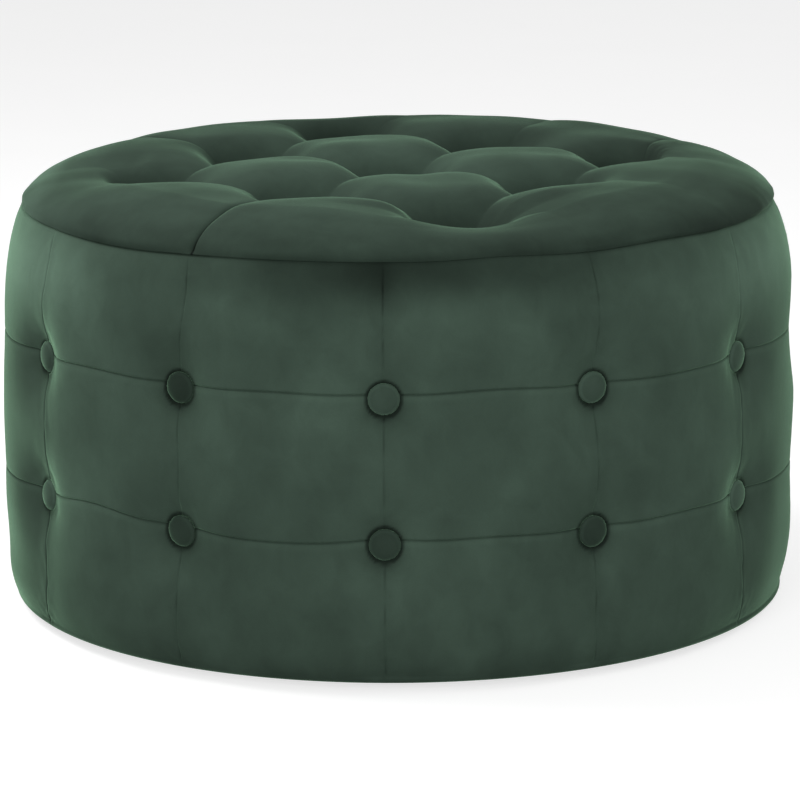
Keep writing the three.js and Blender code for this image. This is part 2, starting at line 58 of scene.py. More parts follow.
SIDE_PAD_RISE = 4.0
SIDE_DENT = 14.0
BUTTON_RADIUS = 14.3
SEAT_GAP = 0.3
FOAM_BORE = 330.6        # radius of the side foam's bore
FOAM_TOP = 382.6
DECK_RADIUS, DECK_TOP = 329.6, 340.3
WALL_BACK = 325.9        # radius at which the side buttons' washers lie
DECK_BACK = 325.0        # height at which the top buttons' washers lie

# Sizes of this one pouf's cover, in millimetres
SEAM_LIFT = 4.0          # the level seams pass this far above the buttons' middles
LEVEL_SEAMS = (LOWER_ROW + SEAM_LIFT, UPPER_ROW + SEAM_LIFT)
SEAM_GAP = 0.15          # the top's and the side's velvet each stop this far from the seam's height
VELVET_THICKNESS = 1.3
ALLOWANCE = 12.0         # width of the velvet turned in at the top seam

# The barrel: its fall half a body's height from the widest place, and where it rounds inwards
WIDEST_SHARE = 0.38
WIDEST_HEIGHT = HEM_HEIGHT + WIDEST_SHARE * (SEAM_HEIGHT - HEM_HEIGHT)
HALF_BODY = (SEAM_HEIGHT - HEM_HEIGHT) / 2
BARREL_FALL = 5.5
SHOULDER_BAND, SHOULDER_FALL = 70.0, 13.5
FOOT_BAND, FOOT_FALL = 38.0, 9.0

WAVES = 24               # waves in each kind of unevenness
WAVE_SIZE = 0.6
STEP_GROWTH = 1.35       # how much wider each step of a grid is than the one before
NEAR_STEP = 2.0
MIDDLE_SHARE = 0.25      # a middle step is left out where less than this share of a step is left


def crest_radius(z):
    """Radius of the side pads' crests at a height."""
    barrel = (z - WIDEST_HEIGHT) / HALF_BODY
    shoulder = np.maximum((z - (SEAM_HEIGHT - SHOULDER_BAND)) / SHOULDER_BAND, 0)
    foot = np.maximum((HEM_HEIGHT + FOOT_BAND - z) / FOOT_BAND, 0)
    return BODY_RADIUS - BARREL_FALL * barrel**2 - SHOULDER_FALL * shoulder**2 - FOOT_FALL * foot**2


SEAM_RADIUS = float(crest_radius(SEAM_HEIGHT))


def bell(distance, width, power=2):
    """1 in the middle, falling smoothly to 0 over about twice the width."""
    return np.exp(-(np.abs(distance / width) ** power))


def spread(shape, distance):
    """A bell from a pair: how high it is, and how wide."""
    size, width = shape
    return size * bell(distance, width)


def climb(value, start, length):
    """0 up to a start, then rising evenly to 1 over a length."""
    return np.clip((value - start) / length, 0, 1)


def eased(share):
    """A share from 0 to 1, slow at both ends."""
    return share * share * (3 - 2 * share)


def unevenness(points, seed, shortest, longest):
    """Hand-made unevenness, about -1 to 1 at each point: fixed random waves, which are between
    the two lengths in mm."""
    rng = np.random.default_rng(seed)
    length = np.exp(rng.uniform(math.log(shortest), math.log(longest), WAVES))
    ways = rng.normal(size=(WAVES, 3))
    ways /= np.linalg.norm(ways, axis=1, keepdims=True)
    ways = ways * (2 * math.pi / length)[:, None]
    starts = rng.uniform(0, 2 * math.pi, WAVES)
    flat = points.reshape(-1, 3)
    total = sum(np.sin(flat @ way + start) for way, start in zip(ways, starts))
    return (total / math.sqrt(WAVES / 2)).reshape(points.shape[:-1]) * WAVE_SIZE


def fullness(share, power):
    """0 at both seams of a pad and 1 at its crest."""
    return 1 - np.abs(2 * share - 1) ** power


def spread_steps(length, finest, coarsest, near=0.0):
    """Steps from 0 to 1 over a length, fine at both ends and coarse between them. Up to near from
    each end they are at most NEAR_STEP."""
    half, step, at = [0.0], finest, 0.0
    while at + step < length / 2:
        at += step
        half.append(at)
        step = min(step * STEP_GROWTH, NEAR_STEP if at < near else coarsest)
    half = np.array(half) / length
    middle = [] if 0.5 - half[-1] < MIDDLE_SHARE * coarsest / length else [0.5]
    return np.concatenate([half, middle, 1 - half[::-1]])


def degrees_from(middle, azimuth):
    """How far an azimuth lies from a middle one in degrees, from -180 to 180."""
    return (np.degrees(azimuth) - middle + 180.0) % 360.0 - 180.0


def place(azimuth, radius, height):
    """Points in mm, with the azimuth counted from the front towards the right."""
    x, y = radius * np.sin(azimuth), -radius * np.cos(azimuth)
    return np.stack([x, y, height + 0 * azimuth], -1)


def turned(points, angle):
    """Points turned about the vertical axis."""
    x, y = points[..., 0], points[..., 1]
    c, s = math.cos(angle), math.sin(angle)
    return np.stack([x * c - y * s, x * s + y * c, points[..., 2]], -1)


def new_mesh(name, points, faces, fabric, nodes):
    """A piece in metres from points in mm, which rides on the body and replaces CAD nodes."""
    mesh = bpy.data.meshes.new(name)
    mesh.from_pydata([tuple(p) for p in np.asarray(points) * MM], [], faces)
    mesh.validate()
    mesh.materials.append(fabric)
    mesh.shade_smooth()
    piece = bpy.data.objects.new(name, mesh)
    bpy.context.scene.collection.objects.link(piece)
    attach(piece, "root")
    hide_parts(*nodes)
    return piece


def store_nap_and_light(piece, nap_and_painted_light):
    """Stores how bright each vertex shows: 1 is plain, less is painted shade and more painted light, with a
    little random tone in the nap.
    """
    layer = piece.data.attributes.new("nap_and_painted_light", "FLOAT", "POINT")
    layer.data.foreach_set("value", np.asarray(nap_and_painted_light, dtype=np.float32).ravel())


def grid_faces(columns, rows, start=0):
    """Faces of a grid of points, column by column."""
    faces = []
    for i in range(columns - 1):
        for j in range(rows - 1):
            a = start + i * rows + j
            faces.append((a, a + rows, a + rows + 1, a + 1))
    return faces


def closed_faces(columns, rows):
    """Faces of a grid whose last column meets its first."""
    last = (columns - 1) * rows
    joint = [(last + j, j, j + 1, last + j + 1) for j in range(rows - 1)]
    return grid_faces(columns, rows) + joint


def weld(piece, distance=0.02):
    """Merges the vertices where patches meet, and drops faces with no area."""
    mesh = bmesh.new()
    mesh.from_mesh(piece.data)
    bmesh.ops.remove_doubles(mesh, verts=mesh.verts, dist=distance * MM)
    bmesh.ops.dissolve_degenerate(mesh, edges=mesh.edges, dist=distance * MM * 0.5)
    mesh.to_mesh(piece.data)
    mesh.free()
    piece.data.shade_smooth()


def thicken(piece, thickness):
    """Makes a sheet of a surface, with its thickness inwards."""
    solid = piece.modifiers.new("thickness", "SOLIDIFY")
    solid.thickness = thickness * MM
    solid.offset = -1
    solid.use_even_offset = False
    bpy.context.view_layer.update()
    graph = bpy.context.evaluated_depsgraph_get()
    made = bpy.data.meshes.new_from_object(piece.evaluated_get(graph))
    made.name = piece.data.name + "_made"
    piece.modifiers.clear()
    piece.data = made


# Materials
class Paint:
    """A material made of nodes, and short ways to add one to it."""

    def __init__(self, name):
        self.material = bpy.data.materials.new(name)
        self.material.use_nodes = True
        self.tree = self.material.node_tree
        self.shader = self.tree.nodes["Principled BSDF"]

    def put(self, name, value):
        """Sets one of the shader's own sockets, or links it."""
        socket = self.shader.inputs[name]
        if isinstance(value, bpy.types.NodeSocket):
            self.tree.links.new(value, socket)
        else:
            socket.default_value = value

    def coordinates(self, scale=(1, 1, 1)):
        where = self.tree.nodes.new("ShaderNodeTexCoord")
        mapping = self.tree.nodes.new("ShaderNodeMapping")
        mapping.inputs["Scale"].default_value = scale
        self.tree.links.new(where.outputs["Object"], mapping.inputs["Vector"])
        return mapping.outputs["Vector"]

    def noise(self, vector, scale, detail=3.0, roughness=0.55, distortion=0.0):
        made = self.tree.nodes.new("ShaderNodeTexNoise")
        made.inputs["Scale"].default_value = scale
        made.inputs["Detail"].default_value = detail
        made.inputs["Roughness"].default_value = roughness
        made.inputs["Distortion"].default_value = distortion
        self.tree.links.new(vector, made.inputs["Vector"])
        return made.outputs["Fac"]

    def cells(self, vector, scale, randomness=1.0):
        made = self.tree.nodes.new("ShaderNodeTexVoronoi")
        made.inputs["Scale"].default_value = scale
        made.inputs["Randomness"].default_value = randomness
        self.tree.links.new(vector, made.inputs["Vector"])
        return made.outputs["Distance"]

    def ramp(self, value, *stops):
        """Colours by a value. Each stop is where it is and a colour, or one number for a grey."""
        made = self.tree.nodes.new("ShaderNodeValToRGB")
        made.color_ramp.elements.remove(made.color_ramp.elements[1])
        for n, (at, tone) in enumerate(stops):
            stop = made.color_ramp.elements[0] if n == 0 else made.color_ramp.elements.new(at)
            stop.position = at
            stop.color = (*tone, 1) if isinstance(tone, tuple) else (tone, tone, tone, 1)
        self.tree.links.new(value, made.inputs["Fac"])
        return made.outputs["Color"]

    def times(self, factor, colour, by):
        """One colour multiplied by another, as far as the factor says."""
        made = self.tree.nodes.new("ShaderNodeMix")
        made.data_type = "RGBA"
        made.blend_type = "MULTIPLY"
        made.inputs[0].default_value = factor
        self.tree.links.new(colour, made.inputs[6])
        self.tree.links.new(by, made.inputs[7])
        return made.outputs[2]

    def bump(self, height, strength, distance, normal=None):
        made = self.tree.nodes.new("ShaderNodeBump")
        made.inputs["Strength"].default_value = strength
        made.inputs["Distance"].default_value = distance
        self.tree.links.new(height, made.inputs["Height"])
        if normal is not None:
            self.tree.links.new(normal, made.inputs["Normal"])
        return made.outputs["Normal"]


def scaled(colour, by):
    """A colour made brighter or darker."""
    return tuple(min(1.0, c * by) for c in colour)


def velvet(name, colour, sheen=0.48, sheen_roughness=0.35):
    """Short-napped velvet: brushed marks in the nap, fine fibre, and sheen at the edges. Its colour is
    multiplied by the painted light and shade stored on each piece.
    """
    paint = Paint(name)
    at = paint.coordinates()
    broad = paint.noise(at, 9.0, 2.0, 0.5, 0.6)
    brushed = paint.noise(paint.coordinates((1, 1, 0.8)), 42.0, 5.0, 0.62, 0.5)
    fibre = paint.noise(at, 2600.0, 2.0, 0.6)
    base = paint.ramp(broad, (0.3, scaled(colour, 0.88)), (0.5, colour), (0.7, scaled(colour, 1.14)))
    base = paint.times(0.7, base, paint.ramp(brushed, (0.3, 0.85), (0.7, 1.15)))
    base = paint.times(0.5, base, paint.ramp(fibre, (0.3, 0.8), (0.7, 1.2)))
    # painted light and shade, with a little random tone in the nap, stored on each piece
    nap_and_painted_light = paint.tree.nodes.new("ShaderNodeAttribute")
    nap_and_painted_light.attribute_name = "nap_and_painted_light"
    paint.put("Base Color", paint.times(1.0, base, nap_and_painted_light.outputs["Color"]))
    paint.put("Roughness", paint.ramp(brushed, (0.0, 0.78), (1.0, 0.92)))
    paint.put("Specular IOR Level", 0.05)
    paint.put("Sheen Weight", sheen)
    paint.put("Sheen Roughness", sheen_roughness)
    paint.put("Sheen Tint", (0.55, 1.0, 0.64, 1))
    soft = paint.bump(brushed, 0.12, 0.0006)
    paint.put("Normal", paint.bump(fibre, 0.35, 0.00025, soft))
    return paint.material


GREEN = (0.050, 0.080, 0.060)
velvet_side = velvet("velvet_side", GREEN)
# the top's velvet is a darker copy of the side's, with less sheen; the darker colour is painted shade
velvet_top = velvet("velvet_top", scaled(GREEN, 0.80), sheen=0.28, sheen_roughness=0.22)
velvet_button = velvet("velvet_button", scaled(GREEN, 0.9), sheen=0.5)


def foam_material():
    """Open-celled foam: fine pores, and yellowing in broad patches."""
    paint = Paint("foam")
    at = paint.coordinates()
    broad = paint.noise(at, 6.0, 3.0)
    pores = paint.cells(at, 900.0)
    tone = paint.ramp(broad, (0.35, (0.80, 0.73, 0.54)), (0.65, (0.86, 0.81, 0.66)))
    paint.put("Base Color", paint.times(0.6, tone, paint.ramp(pores, (0.0, 0.6), (0.5, 1.0))))
    paint.put("Roughness", 0.95)
    paint.put("Specular IOR Level", 0.2)
    paint.put("Normal", paint.bump(pores, 0.5, 0.0006))
    return paint.material


foam = foam_material()


# Side cover
# The top seam lies inside its circle by the dip, and at each column by a pair more
SEAM_DIP = 1.6
COLUMN_DIP = (0.6, 13.0)
EDGE_STEP = 0.3          # the side's velvet ends this far inside the top's

# Where upright seams wander from their columns: column from 0 in front, and for each place its
# height, how far up and down it reaches, and how far to the right the seam goes, in mm
WANDERS = {
    10: ((200.0, 40.0, 17.0), (345.0, 48.0, 14.0), (62.0, 42.0, 8.0)),
    11: ((200.0, 30.0, 6.0), (352.0, 46.0, 11.0)),
    2: ((200.0, 36.0, -12.0), (335.0, 44.0, -9.0), (66.0, 38.0, -6.0)),
    1: ((345.0, 40.0, 3.0), (66.0, 34.0, -2.0)),
}
WANDER_REACH = 45.0      # how far the velvet beside such a seam moves with it

# Where the filling has sunk a little: azimuth and half width in degrees, height, how far up and
# down it reaches, and how far in the cover lies there
SIDE_SAGS = (
    (82.0, 18.0, 28.0, 26.0, 4.5),
    (-80.0, 20.0, 345.0, 36.0, 2.5),
    (-78.0, 20.0, 60.0, 34.0, 1.8),
)

# How far each level seam strays upwards between two columns, by the column on its left, in mm
LEVEL_STRAYS = (
    (LOWER_ROW, {10: 9.0, 11: -2.0, 0: 3.0, 1: 2.5}),
    (UPPER_ROW, {10: 3.5, 11: 2.5, 0: 4.5}),
)
LEVEL_STRAY_REACH = 34.0
# Where the top seam strays upwards: azimuth and half width in degrees, and how far
SEAM_STRAYS = ((-43.0, 14.0, -2.5), (17.0, 7.0, 2.5), (43.5, 9.0, 2.5))
SEAM_STRAY_REACH = 40.0

# The level seams are drawn in less at the flanks, and the top seam shows less in front: azimuths
# and half widths in degrees
FLANK, FLANK_WIDTH = 86.0, 17.0
QUIET_SEAM, QUIET_WIDTH = 6.0, 34.0

# Relief of the side. Each pair is a depth and a width in mm
UPRIGHT_VALLEY = (2.0, 36.0)
LEVEL_VALLEY = (0.8, 26.0)
UPRIGHT_GROOVE = (0.6, 0.9)
LEVEL_GROOVE = (1.6, 0.8)
LEVEL_CREASE = (0.4, 5.0)
FOAM_UPRIGHT_GROOVE = (4.0, 8.0)
FOAM_LEVEL_GROOVE = (4.0, 7.0)
FOAM_SLACK = 1.0
BRIDGED = 3.0            # the cover bridges the bottom of a button's hollow by this much
HOLLOW_EDGE, HOLLOW_REACH, HOLLOW_POWER = 15.0, 25.0, 1.5
SEAT_EDGE, SEAT_SLOPE = 12.0, 3.4
FOAM_SEAT = 18.0

# Painted light and shade on the side's velvet. Each pair is how much darker and how wide in mm
LEVEL_LINE = (0.27, 1.0)
UPRIGHT_LINE = (0.26, 0.9)
UPRIGHT_BAND = (0.06, 9.0)
LIT_EDGE, LIT_EDGE_DROP = (0.10, 2.5), 4.0
BUTTON_GAP, BUTTON_GAP_AT = (0.95, 2.1), 15.4
BUTTON_HALO_AT, BUTTON_HALO_WIDTH = 15.0, 9.0
HALO_BELOW = 14.0        # the halo is darkest from this far below a button's middle
TOP_LINE_WIDTH = 1.4
FOOT_SHADE = (0.15, 14.0)


def seam_dip(azimuth):
    """How far the top seam lies inside its circle."""
    column = azimuth / COLUMN_ANGLE
    sideways = SEAM_RADIUS * COLUMN_ANGLE * (column - np.round(column))
    return SEAM_DIP + spread(COLUMN_DIP, sideways)


def seam_stray(azimuth):
    """How far the top seam lies above its height."""
    return sum(up * bell(degrees_from(at, azimuth), width) for at, width, up in SEAM_STRAYS)


def seam_shade(azimuth):
    """How dark the top seam shows."""
    return 0.6 - 0.55 * bell(degrees_from(QUIET_SEAM, azimuth), QUIET_WIDTH, 4)


def flank(azimuth):
    """1 at the two flanks and 0 elsewhere."""
    return bell(np.abs(degrees_from(0, azimuth)) - FLANK, FLANK_WIDTH)


def strayed(azimuth, z):
    """The real height of a point of the sewn cover, from the one it has in the pattern."""
    column = azimuth / COLUMN_ANGLE
    between = np.sin(math.pi * column) ** 2
    left = np.floor(column) % COLUMNS
    rise = seam_stray(azimuth) * bell(SEAM_HEIGHT - z, SEAM_STRAY_REACH)
    for height, strays in LEVEL_STRAYS:
        near = bell(z - height, LEVEL_STRAY_REACH)
        for number, up in strays.items():
            rise = rise + (left == number) * up * between * near
    return z + rise


def wandered(azimuth, z):
    """The real azimuth of a point of the sewn cover, from the one it has in the pattern."""
    column = np.round(azimuth / COLUMN_ANGLE)
    sideways = BODY_RADIUS * (azimuth - column * COLUMN_ANGLE)
    move = 0 * azimuth * z
    for number, places in WANDERS.items():
        here = column % COLUMNS == number
        for height, reach, right in places:
            move = move + here * right * bell(z - height, reach)
    return azimuth + move * bell(sideways, WANDER_REACH) / BODY_RADIUS


def side_facts(azimuth, z):
    """Distances on the side: to the upright and level seams, and to the nearest button's middle."""
    column = azimuth / COLUMN_ANGLE
    to_upright = BODY_RADIUS * COLUMN_ANGLE * (column - np.round(column))
    actual = wandered(azimuth, z) / COLUMN_ANGLE
    sideways = BODY_RADIUS * COLUMN_ANGLE * (actual - np.round(actual))
    tall = strayed(azimuth, z)
    to_row = np.minimum(np.abs(tall - LOWER_ROW), np.abs(tall - UPPER_ROW))
    to_level = np.minimum(*[np.abs(z - level) for level in LEVEL_SEAMS])
    return np.abs(to_upright), to_level, np.sqrt(sideways**2 + to_row**2)


def side_relief(where, azimuth, z, plain):
    """How far the side lies inside its crests: pads, sewn grooves and the hollows round buttons."""
    to_upright, to_level, reach = side_facts(azimuth, z)
    pad = spread(UPRIGHT_VALLEY, to_upright) + spread(LEVEL_VALLEY, to_level)
    from_edge = np.maximum(reach - HOLLOW_EDGE, 0)
    hollow = (SIDE_DENT - BRIDGED) * bell(from_edge, HOLLOW_REACH, HOLLOW_POWER)
    rim = eased(climb(reach, SEAT_EDGE, SEAT_SLOPE))
    seat = (SIDE_PAD_RISE + SIDE_DENT - hollow - pad) * (1 - rim)
    sag = sum(
        drop * bell(degrees_from(side, azimuth), width) * bell(z - height, tall)
        for side, width, height, tall, drop in SIDE_SAGS
    )
    if plain:
        groove = spread(FOAM_UPRIGHT_GROOVE, to_upright) + spread(FOAM_LEVEL_GROOVE, to_level)
        return pad + hollow + groove + sag + FOAM_SLACK + np.where(reach < FOAM_SEAT, seat, 0)
    level = spread(LEVEL_GROOVE, to_level) + spread(LEVEL_CREASE, to_level)
    groove = spread(UPRIGHT_GROOVE, to_upright) + level * (1 - 0.5 * flank(azimuth))
    # puckers along the upright seams, the level seams, the top seam and round the buttons
    gather = np.exp(-to_upright / 14.0) * unevenness(where * [1, 1, 2.0], 11, 9.0, 26.0) * 0.4
    gather += np.exp(-to_level / 9.0) * unevenness(where * [1.6, 1.6, 1], 12, 8.0, 20.0) * 0.25
    patchy = 0.3 + 0.7 * np.clip(unevenness(where, 16, 240.0, 400.0) + 0.3, 0, 1)
    near_top = np.exp(-(SEAM_HEIGHT - z) / 26.0)
    gather += near_top * unevenness(where * [1, 1, 0.25], 13, 10.0, 28.0) * 0.8 * patchy
    pull = np.exp(-np.maximum(reach - BUTTON_RADIUS, 0) / 20.0)
    gather += pull * unevenness(where, 14, 10.0, 24.0) * 0.5
    # broad slack in the pads
    slack = unevenness(where, 15, 70.0, 220.0) * 0.9 + sag
    quiet = climb(reach, SEAT_EDGE + 4.0, 10.0)
    return pad + hollow + seat + groove * climb(reach, SEAT_EDGE + 2.0, 3.0) + (gather + slack) * quiet


def side_painted_light(where, azimuth, z):
    """Painted light and shade on the side, with a little random tone in the nap. The broad shades go by
    turn, the azimuth from the front in radians.
    """
    to_upright, to_level, reach = side_facts(azimuth, z)
    turn = np.arctan2(where[..., 0], -where[..., 1])
    aside, right = np.abs(turn), np.sign(turn)
    down, up = SEAM_HEIGHT - z, z - HEM_HEIGHT
    # painted shade in the grooves of the level and upright seams, patchy along the upright ones
    line_patchiness = 0.5 + 0.5 * np.clip(unevenness(where * [0, 0, 1], 31, 9.0, 30.0) * 2, -1, 1)
    nap_and_painted_light = 1 - spread(LEVEL_LINE, to_level) * (1 - 0.5 * flank(azimuth))
    nap_and_painted_light -= spread(UPRIGHT_LINE, to_upright) * line_patchiness + spread(UPRIGHT_BAND, to_upright)
    # a painted highlight just below each level seam
    for level in LEVEL_SEAMS:
        nap_and_painted_light += spread(LIT_EDGE, level - z - LIT_EDGE_DROP)
    # painted shadow in the gap round each button, and painted shade round it, darkest below
    row = np.where(z < (LOWER_ROW + UPPER_ROW) / 2, LOWER_ROW, UPPER_ROW)
    halo = 0.12 + 0.2 * climb(row - z, 0, HALO_BELOW)
    nap_and_painted_light -= spread(BUTTON_GAP, reach - BUTTON_GAP_AT)
    nap_and_painted_light -= halo * bell(reach - BUTTON_HALO_AT, BUTTON_HALO_WIDTH)
    # painted shadow under the top seam, darkest in front, and painted light on the shoulders at the sides
    nap_and_painted_light -= bell(down, 32.0, 3) * (0.08 + 0.58 * bell(turn - 0.06, 0.45))
    nap_and_painted_light -= 0.07 * bell(down - 60.0, 45.0) * bell(turn, 0.8, 4)
    to_side = climb(aside, 0.7, 0.5)
    to_back = climb(aside, 1.6, 0.6)
    nap_and_painted_light += (1.2 - 0.2 * right) * bell(down - 38.0, 38.0) * to_side * (1 - 0.8 * to_back)
    # painted shade towards the hem, and at the flanks below the shoulders
    nap_and_painted_light -= 0.2 * to_side * bell(up, 70.0)
    nap_and_painted_light -= 0.22 * bell(up, 85.0) * (1 - 0.5 * climb(turn, 0, 0.9))
    nap_and_painted_light -= (0.28 - 0.1 * right) * climb(aside, 0.95, 0.3) * climb(330.0 - z, 0, 60.0)
    nap_and_painted_light -= seam_shade(azimuth) * bell(down, TOP_LINE_WIDTH) + spread(FOOT_SHADE, up)
    nap_and_painted_light += 0.05 * unevenness(where * [1, 1, 0.5], 32, 30.0, 90.0)
    nap_and_painted_light += 0.04 * unevenness(where, 33, 90.0, 300.0)
    return np.clip(nap_and_painted_light, 0.2, 2.2)


# The section of the turned-in hem, the rounded lower edge and the tuck under the top seam, in mm
FOOT_ROUND, FOOT_WIDTH = 7.0, 9.0
TUCK_DROP = 1.4
TUCK_ROUND = 0.4
UNTUCKED = 20.0          # the side's relief ends this far below the top seam


def side_section(z_step, finest, near):
    """Radii and heights up the side, and where in the list the side itself starts and ends."""
    bottom = HEM_HEIGHT + FOOT_ROUND
    top = SEAM_HEIGHT - TUCK_DROP
    levels = []
    for low, high in ((bottom, LEVEL_SEAMS[0]), LEVEL_SEAMS, (LEVEL_SEAMS[1], top)):
        steps = spread_steps(high - low, finest, z_step, near)[:-1]
        levels += [low + (high - low) * step for step in steps]
    foot = float(crest_radius(np.array(bottom)))
    hem = [(r, HEM_HEIGHT) for r in np.linspace(HEM_RADIUS, foot - FOOT_WIDTH - 3.0, 8)]
    corner = [
        (foot - FOOT_WIDTH * (1 - math.sin(a)), bottom - FOOT_ROUND * math.cos(a))
        for a in np.linspace(0, math.pi / 2, 7)[:-1]
    ]
    side = [(float(crest_radius(z)), float(z)) for z in levels]
    edge = SEAM_HEIGHT - SEAM_GAP
    tuck = [(SEAM_RADIUS, top), (SEAM_RADIUS, edge - 0.35)]
    tuck += [(SEAM_RADIUS - inside, edge) for inside in (TUCK_ROUND, ALLOWANCE / 2, ALLOWANCE)]
    start = len(hem) + len(corner)
    return np.array(hem + corner + side + tuck), start, start + len(side)


def side_sheet(name, depth, fabric, nodes, z_step=9.0, finest=0.5, coarsest=11.0,
               near=17.0, closing=(), plain=False):
    """The side's surface as a closed loop of columns, set inwards by a depth. closing is the rest
    of a solid's section, and plain leaves out the fine stitching and puckers."""
    steps = spread_steps(BODY_RADIUS * COLUMN_ANGLE, finest, coarsest, near)[:-1]
    azimuths = np.concatenate([(n + steps) * COLUMN_ANGLE for n in range(COLUMNS)])
    path, start, end = side_section(z_step, finest, near)
    along = np.gradient(path, axis=0)
    along /= np.linalg.norm(along, axis=1, keepdims=True)
    outward = np.stack([along[:, 1], -along[:, 0]], -1)
    azimuth, z = np.meshgrid(azimuths, path[:, 1], indexing="ij")
    real = wandered(azimuth, z)
    where = place(real, path[None, :, 0] + 0 * azimuth, z)
    on_side = np.zeros(len(path))
    on_side[start:] = 1
    on_side[start - 3 : start] = [0.25, 0.5, 0.75]
    relief = side_relief(where, azimuth, z, plain)
    joined = climb(z, SEAM_HEIGHT - UNTUCKED, UNTUCKED - 1.0) ** 2
    relief = relief * (1 - joined) + (seam_dip(real) + EDGE_STEP) * joined
    relief = relief * on_side[None, :]
    tucked = np.arange(len(path)) >= end - 1
    into = np.where(tucked[:, None], [1.0, 0.0], outward)
    r = path[None, :, 0] - relief * into[None, :, 0] - depth * outward[None, :, 0]
    h = path[None, :, 1] - relief * into[None, :, 1] - depth * outward[None, :, 1]
    points = place(real, r, h + strayed(azimuth, z) - z)
    if closing:
        ends = [place(azimuths, radius, height) for radius, height in closing]
        points = np.concatenate([points, np.stack(ends, 1), points[:, :1]], 1)
    faces = closed_faces(*points.shape[:2])
    piece = new_mesh(name, points.reshape(-1, 3), faces, fabric, nodes)
    if not plain:
        store_nap_and_light(piece, side_painted_light(where, azimuth, z))
    return piece


SIDE_WADDING = 3.2       # the side foam starts this far inside the velvet's face
side_velvet = side_sheet("side_velvet", 0.0, velvet_side, ["side_cover"])
thicken(side_velvet, VELVET_THICKNESS)
side_padding = side_sheet("side_padding", SIDE_WADDING, foam, ["side_foam"], z_step=14.0,
                          finest=4.0, coarsest=14.0, near=0.0, plain=True,
                          closing=[(FOAM_BORE, FOAM_TOP), (FOAM_BORE, HEM_HEIGHT + SIDE_WADDING)])
weld(side_padding)


# Top cover
CORNER_RUN = 76.0        # the crown starts to fall this far inside the seam
CORNER_POWER = 1.62
EDGE_LENGTH = 97.0       # from there to the seam along the rounded edge
CREASE = 7.5             # folds between the tufts, below the pads' crests
CREASE_POWER = 5.0
CREASE_SHARE = 0.75
DOME = 5.0               # how much higher a pad's middle is than its shoulders
BELLY, BELLY_START, BELLY_POWER = 1.5, 0.35, 1.2
MEETING = 0.86           # the share of the rounded edge after which the sheet meets the seam
# How soon each corner tuft's hollow ends towards the rim, and how much the edge adds to that
OUTWARD_ENDS = (2.4, 0.85, 0.55, 0.45)
EDGE_ADDS = 90.0
# Where tufts pull the rim down beside them: azimuth, half width in degrees, and how far
RIM_DRAWS = ((18.0, 18.0, 16.0), (-86.0, 13.0, 7.0), (-165.0, 12.0, 2.0))
# Where the rim has sunk a little: azimuth, half width in degrees, and how far
SAGS = ((132.0, 26.0, 1.0), (-72.0, 16.0, 3.0))
# The folds that still show at the seam, by azimuth in degrees: depth, sharpness and how much shade is
# painted along them
PLEATS = {
    330: (4.0, 3.2, 0.6),
    150: (1.0, 0.3, 0.04),
    240: (1.6, 0.6, 0.08),
    120: (1.6, 1.0, 0.1),
    30: (0.4, 0.0, 0.03),
}
# How far round a fold has moved by the time it meets the seam, in degrees
PLEAT_TURNS = {330: 1.5, 120: -4.0}
PLEAT_LINE = 1.2
PULL_SEAT, PULL_REACH, PULL_POWER = 11.0, 41.0, 1.8
TUFT_SHAPE = 1.6         # 2 is a round hollow, and less one that reaches out along the folds


def tuft_reach(x, y):
    """Distance in plan to the nearest tuft."""
    near = [np.abs(v - TUFT_PITCH * np.clip(np.round(v / TUFT_PITCH), -1, 1)) for v in (x, y)]
    return (near[0] ** TUFT_SHAPE + near[1] ** TUFT_SHAPE) ** (1 / TUFT_SHAPE)


def gathers(x, y, ride, reach):
    """Slack in the pads, gathers round the tufts and puckers near the seam."""
    spots = np.stack([x, y, SEAM_HEIGHT + edge_height(ride)], -1)
    slack = unevenness(spots, 21, 60.0, 200.0) * 1.2
    gathered = bell(reach - 20.0, 16.0) * unevenness(spots, 22, 9.0, 22.0) * 0.5
    patchy = 0.35 + 0.65 * np.clip(unevenness(spots, 25, 240.0, 400.0) + 0.3, 0, 1)
    pucker = unevenness(spots * [1, 1, 0.3], 23, 9.0, 24.0) * 0.7 * climb(ride, 0.45, 0.4) * patchy
    return slack + gathered + pucker


def edge_height(ride):
    """Height above the seam, from how far round the rounded edge a point lies."""
    return CROWN_RISE * np.maximum(np.cos(ride * math.pi / 2), 0) ** (2 / CORNER_POWER)


